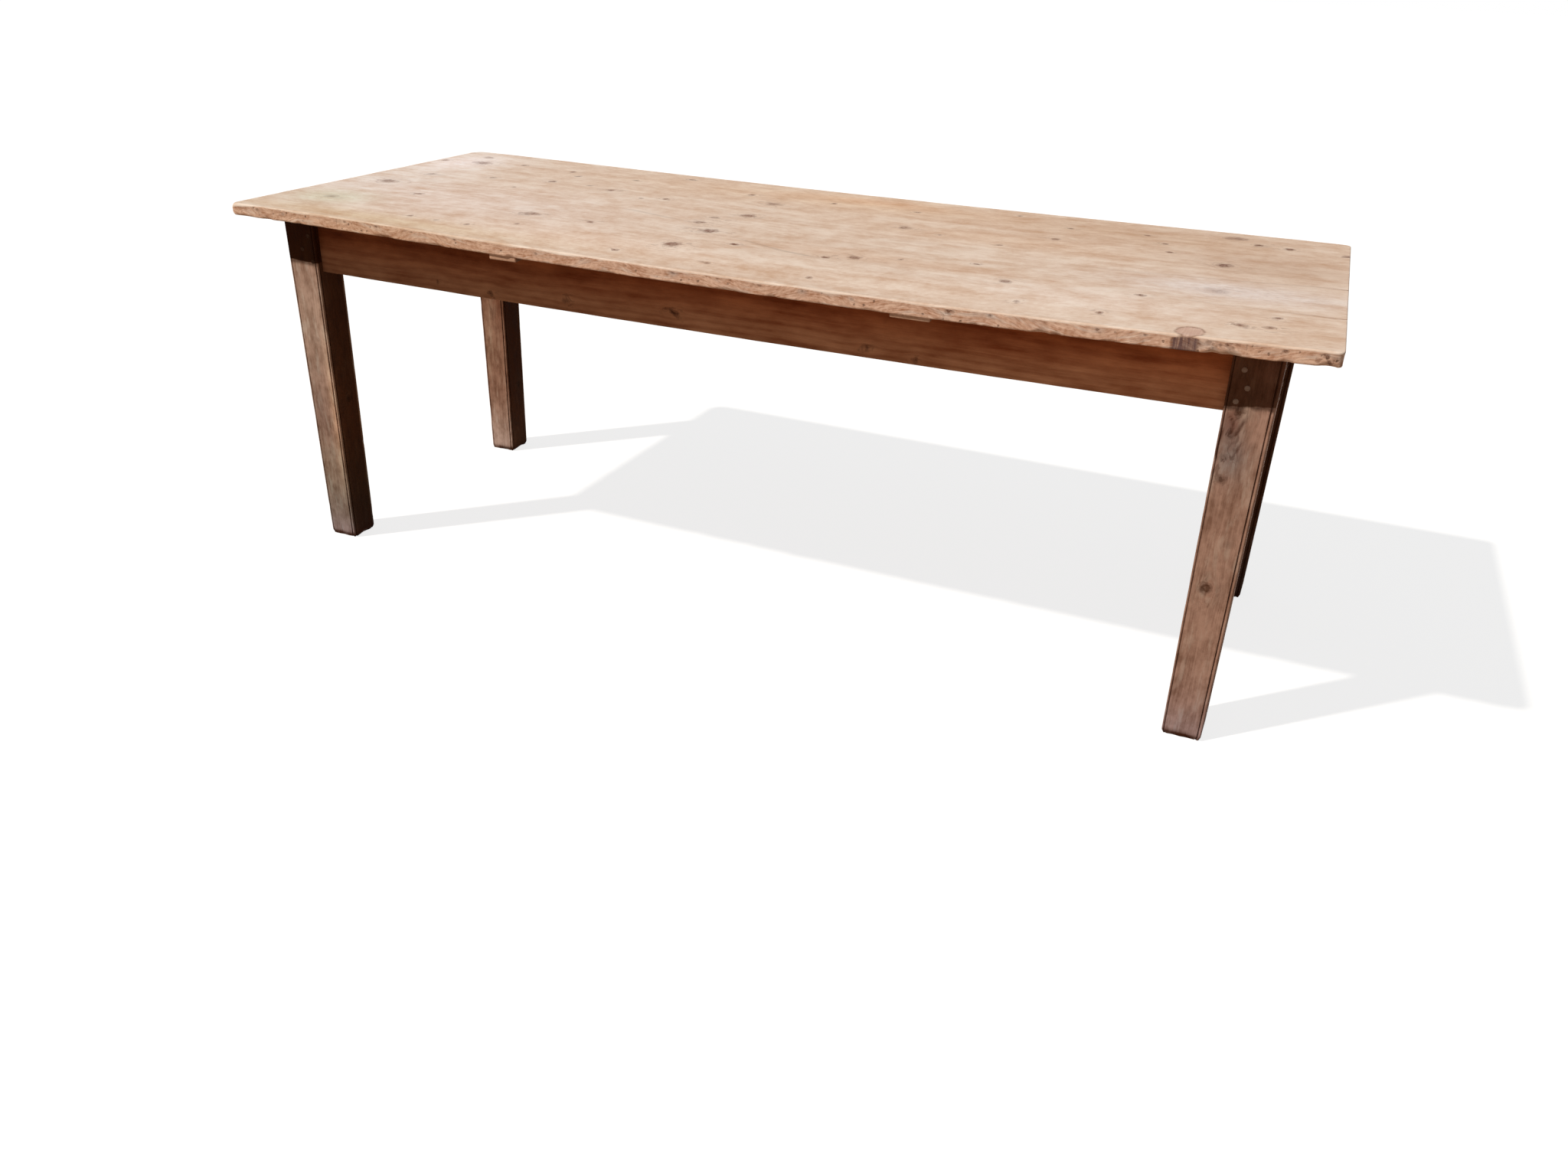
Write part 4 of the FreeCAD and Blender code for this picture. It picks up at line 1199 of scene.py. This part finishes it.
def finish_nodes(names, material, easing):
    """Gives these CAD nodes their material and eases their arrises."""
    if not names:
        raise RuntimeError("the packed model has no node for " + material.name)
    for name in names:
        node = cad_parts[name]
        node.data.materials.clear()
        node.data.materials.append(material)
        bevel = node.modifiers.new("eased", "BEVEL")
        bevel.width = easing
        bevel.segments = EASED_STEPS
        bevel.limit_method = "ANGLE"
        bevel.angle_limit = EASED_ANGLE


class REFECTORY_OT_glue_blocks(bpy.types.Operator):
    """Glue blocks in the angle of the aprons and the plank"""
    bl_idname = "refectory.glue_blocks"
    bl_label = "Glue blocks"

    def execute(self, context):
        look = context.scene.refectory_rails
        # Rough sawn pine offcuts, raw and dull
        material = pine("rough_sawn_pine_block", Wood(
            look.block_pale, look.block_dark, look.block_pale, look.block_dark, look.block_dark,
            ring=5 * mm, ring_share=0.5, roughness=0.66, relief=0.5 * mm), grain=None)
        blocks = [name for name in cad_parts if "glue_block" in name]
        finish_nodes(blocks, material, look.block_arris)
        return {"FINISHED"}


class REFECTORY_OT_pegs(bpy.types.Operator):
    """Pegs through the tenons"""
    bl_idname = "refectory.pegs"
    bl_label = "Pegs"

    def execute(self, context):
        look = context.scene.refectory_fixings
        # Cleft oak, whittled and driven: end grain that has drunk wax, a little paler than the leg.
        # Those of the front left leg are darkened with that leg's painted shade
        pegs = {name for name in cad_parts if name.endswith("_pegs")}
        shaded_pegs = {"front_apron_left_pegs"}
        for material_name, pale, dark, names in (
                ("cleft_whittled_oak", look.peg_pale, look.peg_dark, pegs - shaded_pegs),
                ("cleft_oak_in_painted_shade", look.painted_shade_peg_pale, look.painted_shade_peg_dark, shaded_pegs)):
            material = pine(material_name, Wood(
                pale, dark, pale, dark, dark, ring=2 * mm, ring_share=0.3, streak=(0.01, 0.002),
                blotch=(0.01, 0.006), roughness=0.5, relief=0.2 * mm), grain=None)
            finish_nodes(sorted(names), material, look.peg_arris)
        return {"FINISHED"}


# Reach of the rust spots on the nails, and width and depth of the hammer dents
RUST_SPOT = (3 * mm, 3 * mm, 3 * mm)
HAMMER_DENT = 2 * mm
DENT_DEPTH = 0.3 * mm


class REFECTORY_OT_nails(bpy.types.Operator):
    """Hand-made nails of the battens"""
    bl_idname = "refectory.nails"
    bl_label = "Nails"

    def execute(self, context):
        look = context.scene.refectory_fixings
        # Hammered iron: rust over a dull grey skin, with small dents from the hammer
        material = bpy.data.materials.new("hammered_rusty_iron")
        material.use_nodes = True
        tree = material.node_tree
        axes = add(tree, "TexCoord")["Object"]
        spots = uneven(tree, axes, RUST_SPOT, 4.0)["Fac"]
        rusty = add(tree, "MapRange", spots, 0.38, 0.6)[0]
        colour = add(tree, "MixRGB", rusty, look.iron, look.rust)[0]
        dents = add(tree, "TexVoronoi", sockets={"Vector": axes, "Scale": 1 / HAMMER_DENT})["Distance"]
        bump = add(tree, "Bump", sockets={"Strength": 0.5, "Distance": DENT_DEPTH, "Height": dents})[0]
        bare = add(tree, "MapRange", rusty, 0.0, 1.0, 0.9, 0.0)[0]
        dull = add(tree, "MapRange", rusty, 0.0, 1.0, 0.42, 0.85)[0]
        shader = tree.nodes["Principled BSDF"]
        sockets = {"Base Color": colour, "Metallic": bare, "Roughness": dull, "Normal": bump}
        for socket, value in sockets.items():
            tree.links.new(value, shader.inputs[socket])
        nails = [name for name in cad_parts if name.endswith("_nails")]
        finish_nodes(nails, material, look.nail_arris)
        return {"FINISHED"}


# Camera at the photograph's angle: place in metres, turn in degrees, lens and film width in mm
CAMERA_PLACE = (1.0587, -2.4792, 1.2890)
CAMERA_TURN = (63.1286, -1.7627, 23.7679)
CAMERA_LENS = 29.606
FILM_WIDTH = 36.0
# Key light from the front left: its way, and how wide the sun looks, which softens the shadow
KEY_WAY = Vector((0.47, 0.47, -0.747))
KEY_WIDTH = radians(1.5)
KEY_COLOUR = "#FFF8EE"
FLOOR_RADIUS = 40
# The floor glows a little brighter than white, so that it stays white beside the shadow
FLOOR_GLOW = 1.15


def seen_directly(tree):
    """Tells rays of the camera, of gloss and of glass from those that light the table."""
    path = add(tree, "LightPath")
    seen = path["Is Camera Ray"]
    for kind in ("Is Glossy Ray", "Is Transmission Ray"):
        seen = add(tree, "Math", seen, path[kind], operation="MAXIMUM")[0]
    return seen


class REFECTORY_OT_stage(bpy.types.Operator):
    """Pale floor, soft key light and the camera"""
    bl_idname = "refectory.stage"
    bl_label = "Stage"

    def execute(self, context):
        look = context.scene.refectory_stage
        self.floor(look)
        self.light(look)
        camera = bpy.data.cameras.new("camera")
        camera.sensor_width = FILM_WIDTH
        camera.lens = CAMERA_LENS
        seen = bpy.data.objects.new("camera", camera)
        seen.location = CAMERA_PLACE
        seen.rotation_euler = [radians(turn) for turn in CAMERA_TURN]
        context.scene.collection.objects.link(seen)
        context.scene.camera = seen
        context.scene.view_settings.view_transform = "Standard"
        return {"FINISHED"}

    def floor(self, look):
        """Wide matt floor, seen almost white, with a light shadow."""
        turns = [radians(turn) for turn in range(0, 360, 5)]
        around = [(FLOOR_RADIUS * cos(turn), FLOOR_RADIUS * sin(turn), 0) for turn in turns]
        mesh = bpy.data.meshes.new("floor")
        mesh.from_pydata(around, [], [tuple(range(len(around)))])
        # Matt floor paint: no gloss at all, so that only the shadow shows on it
        material = bpy.data.materials.new("matt_floor_paint")
        material.use_nodes = True
        tree = material.node_tree
        tree.nodes.clear()
        seen = seen_directly(tree)
        colour = add(tree, "MixRGB", seen, look.bounce, look.floor)[0]
        lit = add(tree, "BsdfDiffuse", colour)[0]
        white = add(tree, "Emission", look.floor, FLOOR_GLOW)[0]
        flat = add(tree, "Math", seen, 1 - look.shadow, operation="MULTIPLY")[0]
        paint = add(tree, "MixShader", flat, lit, white)[0]
        # Seen from below the floor is clear, so that the underside can be looked at
        clear = add(tree, "BsdfTransparent")[0]
        below = add(tree, "NewGeometry")["Backfacing"]
        mixed = add(tree, "MixShader", below, paint, clear)[0]
        add(tree, "OutputMaterial", mixed)
        mesh.materials.append(material)
        made = bpy.data.objects.new("floor", mesh)
        bpy.context.scene.collection.objects.link(made)

    def light(self, look):
        """Key light from the front left at 45 degrees, and even light from all round."""
        lamp = bpy.data.lights.new("key", "SUN")
        lamp.energy = look.sun
        lamp.angle = KEY_WIDTH
        lamp.color = linear(KEY_COLOUR)[:3]
        key = bpy.data.objects.new("key", lamp)
        key.rotation_euler = KEY_WAY.to_track_quat("-Z", "Y").to_euler()
        bpy.context.scene.collection.objects.link(key)
        world = bpy.data.worlds.new("studio")
        world.use_nodes = True
        tree = world.node_tree
        tree.nodes.clear()
        level = add(tree, "MapRange", seen_directly(tree), 0.0, 1.0, look.sky, 1.0)[0]
        sky = add(tree, "Background", linear("#FFFFFF"), level)[0]
        add(tree, "OutputWorld", sky)
        bpy.context.scene.world = world


class REFECTORY_PT_panel(bpy.types.Panel):
    """Buttons for the pieces, and the sizes and colours behind them"""
    bl_idname = "REFECTORY_PT_panel"
    bl_label = "Refectory table"
    bl_space_type = "VIEW_3D"
    bl_region_type = "UI"
    bl_category = "Refectory"

    def draw(self, context):
        for operator in OPERATORS:
            self.layout.operator(operator.bl_idname)
        for name in LOOKS:
            group = getattr(context.scene, name)
            box = self.layout.box()
            for key in group.__annotations__:
                box.prop(group, key)


LOOKS = {
    "refectory_plank": PlankLook,
    "refectory_legs": LegLook,
    "refectory_rails": RailLook,
    "refectory_fixings": FixingLook,
    "refectory_stage": StageLook,
}
OPERATORS = (
    REFECTORY_OT_plank,
    REFECTORY_OT_legs,
    REFECTORY_OT_aprons,
    REFECTORY_OT_battens,
    REFECTORY_OT_glue_blocks,
    REFECTORY_OT_pegs,
    REFECTORY_OT_nails,
    REFECTORY_OT_stage,
)


def register():
    for name, group in LOOKS.items():
        bpy.utils.register_class(group)
        setattr(bpy.types.Scene, name, PointerProperty(type=group))
    for kind in OPERATORS + (REFECTORY_PT_panel,):
        bpy.utils.register_class(kind)


def unregister():
    for kind in (REFECTORY_PT_panel,) + OPERATORS[::-1]:
        bpy.utils.unregister_class(kind)
    for name, group in LOOKS.items():
        delattr(bpy.types.Scene, name)
        bpy.utils.unregister_class(group)


def main():
    register()
    bpy.ops.refectory.plank()
    bpy.ops.refectory.legs()
    bpy.ops.refectory.aprons()
    bpy.ops.refectory.battens()
    bpy.ops.refectory.glue_blocks()
    bpy.ops.refectory.pegs()
    bpy.ops.refectory.nails()
    bpy.ops.refectory.stage()


if __name__ == "__main__":
    main()
